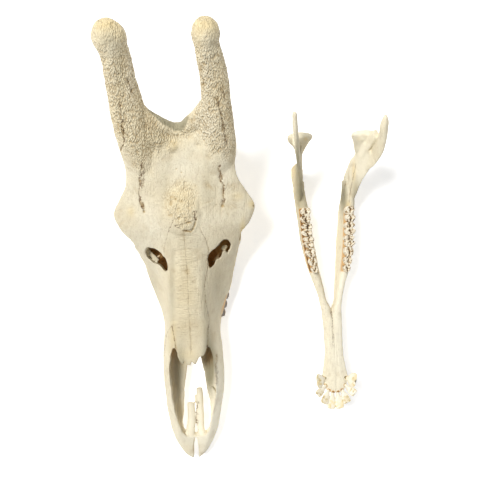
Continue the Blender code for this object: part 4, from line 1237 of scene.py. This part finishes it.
def kept_value(tree, label):
    return add_node(tree, "ShaderNodeAttribute", {}, attribute_name=label).outputs["Fac"]


def new_material(name):
    """A material, its nodes, its shader, and the coordinates of the object that wears it."""
    made = bpy.data.materials.new(name)
    made.use_nodes = True
    tree = made.node_tree
    where = add_node(tree, "ShaderNodeTexCoord", {}).outputs["Object"]
    return made, tree, tree.nodes["Principled BSDF"], where


def bone_skin(name, pale, tan):
    """Dry bone: pale and tan patches, strands, pores, granular horn, and the tints kept at its points, with
    painted light and painted shade among them.
    """
    made, tree, shader, where = new_material(name)
    grain = kept_value(tree, "grain")
    patches = pattern(tree, where, 14, 4)
    flecks = pattern(tree, where, 120, 4, 0.65)
    pores = pattern(tree, where, 900, 2, 0.5)
    fibres = pattern(tree, where, 420, 5, 0.7)
    drawn_out = stretched(tree, where, (1.0, 0.5, 0.5))
    cell_values = {"Vector": drawn_out, "Scale": 430.0, "Randomness": 1.0}
    cells = add_node(tree, "ShaderNodeTexVoronoi", cell_values, feature="F1").outputs["Distance"]
    pitted = product(tree, band(tree, cells, 0.22, 0.78), band(tree, flecks, 0.3, 0.6, 0.35, 1.0))
    between = product(tree, pitted, grain)
    colour = mix(tree, band(tree, patches, 0.42, 0.72), pale, tan)
    colour = mix(tree, band(tree, flecks, 0.48, 0.75, 0, 0.6), colour, ROSE)
    lengthwise = stretched(tree, where, (1.0, 0.06, 0.5))
    strands = pattern(tree, lengthwise, 210, 4, 0.6)
    colour = mix(tree, band(tree, strands, 0.5, 0.78, 0, 0.55), colour, tan)
    colour = mix(tree, band(tree, strands, 0.68, 0.84, 0, 0.3), colour, ROSE)
    colour = mix(tree, band(tree, pores, 0.6, 0.74, 0, 0.42), colour, PORE_AND_HOLLOW_SHADE)
    colour = mix(tree, kept_value(tree, "warm"), colour, AMBER)
    colour = mix(tree, product(tree, grain, 0.75), colour, YELLOWED)
    # Painted light: the bone painted paler and brighter at those spots
    colour = mix(tree, kept_value(tree, "painted_light"), colour, PAINTED_LIGHT_CREAM)
    # Brown and painted shade in the crevices between the grains
    colour = mix(tree, product(tree, between, 0.68), colour, GRAIN_CREVICE_BROWN_AND_SHADE)
    # Grey-olive stain and painted shade
    colour = mix(tree, kept_value(tree, "grey_stain_and_shade"), colour, MOSS_STAIN_AND_SHADE)
    # Painted shade in the hollows that the relief pushes in
    colour = mix(tree, band(tree, kept_value(tree, "pit"), 0.12, 0.9, 0, 0.8), colour, PORE_AND_HOLLOW_SHADE)
    wander = product(tree, math_of(tree, "SUBTRACT", pattern(tree, where, 260, 3), 0.5), 2.8)
    off = math_of(tree, "ABSOLUTE", math_of(tree, "ADD", kept_value(tree, "seam"), wander))
    broken = band(tree, pattern(tree, where, 170, 3), 0.36, 0.6, 0.15, 1.0)
    line = product(tree, band(tree, off, 0.12, 0.55, 1.0, 0.0), kept_value(tree, "seam_tone"))
    colour = mix(tree, product(tree, line, broken), colour, UMBER_SEAM_AND_SHADE)
    # Painted shade and brown in caves, gaps, corners and round the tooth sockets, near-black where deepest
    dark = kept_value(tree, "dark")
    colour = mix(tree, band(tree, dark, 0.0, 0.85), colour, DARK_BROWN_AND_SHADE)
    colour = mix(tree, band(tree, dark, 0.84, 1.0, 0.0, 0.85), colour, UMBER_SEAM_AND_SHADE)
    tree.links.new(colour, shader.inputs["Base Color"])
    tree.links.new(band(tree, flecks, 0.3, 0.7, 0.6, 0.78), shader.inputs["Roughness"])
    shader.inputs["Specular IOR Level"].default_value = 0.32
    across = stretched(tree, where, (0.25, 1.0, 0.6))
    folds = product(tree, pattern(tree, across, 330, 3, 0.6), kept_value(tree, "wrinkle"))
    height = math_of(tree, "ADD", product(tree, fibres, 0.5), product(tree, folds, 2.2))
    height = math_of(tree, "SUBTRACT", height, product(tree, between, 2.1))
    height = math_of(tree, "SUBTRACT", height, band(tree, pores, 0.6, 0.75, 0, 0.5))
    height = math_of(tree, "SUBTRACT", height, band(tree, strands, 0.5, 0.8, 0, 0.6))
    bump = add_node(tree, "ShaderNodeBump", {"Strength": 0.9, "Distance": 0.0018, "Height": height})
    tree.links.new(bump.outputs["Normal"], shader.inputs["Normal"])
    return made


def enamel_skin(name, clean, tipped, shine):
    """Clean enamel, its stained ends, and the dark of its deepest valleys and walls: tartar and painted
    shade.
    """
    made, tree, shader, where = new_material(name)
    clouds = pattern(tree, where, 90, 4)
    specks = pattern(tree, where, 600, 3, 0.6)
    stain_and_shade = math_of(tree, "ADD", kept_value(tree, "stain_and_shade"), band(tree, specks, 0.35, 0.75, -0.12, 0.12))
    colour = mix(tree, band(tree, clouds, 0.4, 0.7, 0, 0.25), clean, tipped)
    colour = mix(tree, band(tree, stain_and_shade, 0.32, 0.66, 0, 0.9), colour, tipped)
    # Near-black of tartar and of painted shade
    colour = mix(tree, band(tree, stain_and_shade, 0.7, 0.95, 0, 0.95), colour, TARTAR_AND_SHADE)
    tree.links.new(colour, shader.inputs["Base Color"])
    tree.links.new(band(tree, specks, 0.3, 0.7, shine, shine + 0.2), shader.inputs["Roughness"])
    shader.inputs["Specular IOR Level"].default_value = 0.45
    bump = add_node(tree, "ShaderNodeBump", {"Strength": 0.3, "Distance": 0.0006, "Height": specks})
    tree.links.new(bump.outputs["Normal"], shader.inputs["Normal"])
    return made


def table_top():
    made, tree, shader, where = new_material("white_table")
    tone = mix(tree, pattern(tree, where, 3, 2), (0.9, 0.9, 0.9, 1), (0.93, 0.93, 0.93, 1))
    tree.links.new(tone, shader.inputs["Base Color"])
    shader.inputs["Roughness"].default_value = 0.9
    shader.inputs["Emission Color"].default_value = (1, 1, 1, 1)
    shader.inputs["Emission Strength"].default_value = TABLE_GLOW
    mesh = bmesh.new()
    bmesh.ops.create_grid(mesh, x_segments=2, y_segments=2, size=6)
    top = add_object("table_top", mesh)
    top.location.z = -0.0004
    top.data.materials.append(made)


def light_and_camera():
    scene = bpy.context.scene
    scene.view_settings.view_transform = "Standard"
    world = bpy.data.worlds.new("studio")
    world.use_nodes = True
    backdrop = world.node_tree.nodes["Background"]
    backdrop.inputs["Color"].default_value = (1, 1, 1, 1)
    backdrop.inputs["Strength"].default_value = SKY_GLOW
    scene.world = world

    lamp = bpy.data.lights.new("key", "AREA")
    lamp.energy = KEY_POWER
    lamp.size = KEY_SIZE
    key = bpy.data.objects.new("key", lamp)
    key.location = KEY_AT
    key.rotation_euler = (-Vector(KEY_AT)).to_track_quat("-Z", "Y").to_euler()
    scene.collection.objects.link(key)

    lens = bpy.data.cameras.new("camera")
    lens.sensor_width = 36
    lens.lens = 36 * PIXELS_PER_SLOPE / PHOTO_SIZE
    eye = bpy.data.objects.new("camera", lens)
    eye.location = Vector(CAMERA) * MM
    scene.collection.objects.link(eye)
    scene.camera = eye


def build():
    light_and_camera()
    table_top()
    skins = {
        "cranium": bone_skin("cranium_bone", OLD_CREAM, OLD_SAND),
        "jaw": bone_skin("jaw_bone", CREAM, SAND),
        "cheek": enamel_skin("cheek_enamel", WHITE_ENAMEL, BROWN_ENAMEL, 0.35),
        "incisor_1": enamel_skin("first_enamel", WHITE_ENAMEL, YELLOW_ENAMEL, 0.28),
        "incisor_2": enamel_skin("second_enamel", WHITE_ENAMEL, OLIVE_ENAMEL, 0.3),
        "incisor_3": enamel_skin("third_enamel", WHITE_ENAMEL, OLIVE_ENAMEL, 0.3),
        "canine": enamel_skin("fourth_enamel", WHITE_ENAMEL, TAN_ENAMEL, 0.3),
    }
    build_cranium(skins)
    upper_teeth(skins)
    for side, hand in SIDES:
        build_jaw(side, hand, skins)
        lower_teeth(side, hand, skins)
        front_teeth(side, hand, skins)


build()
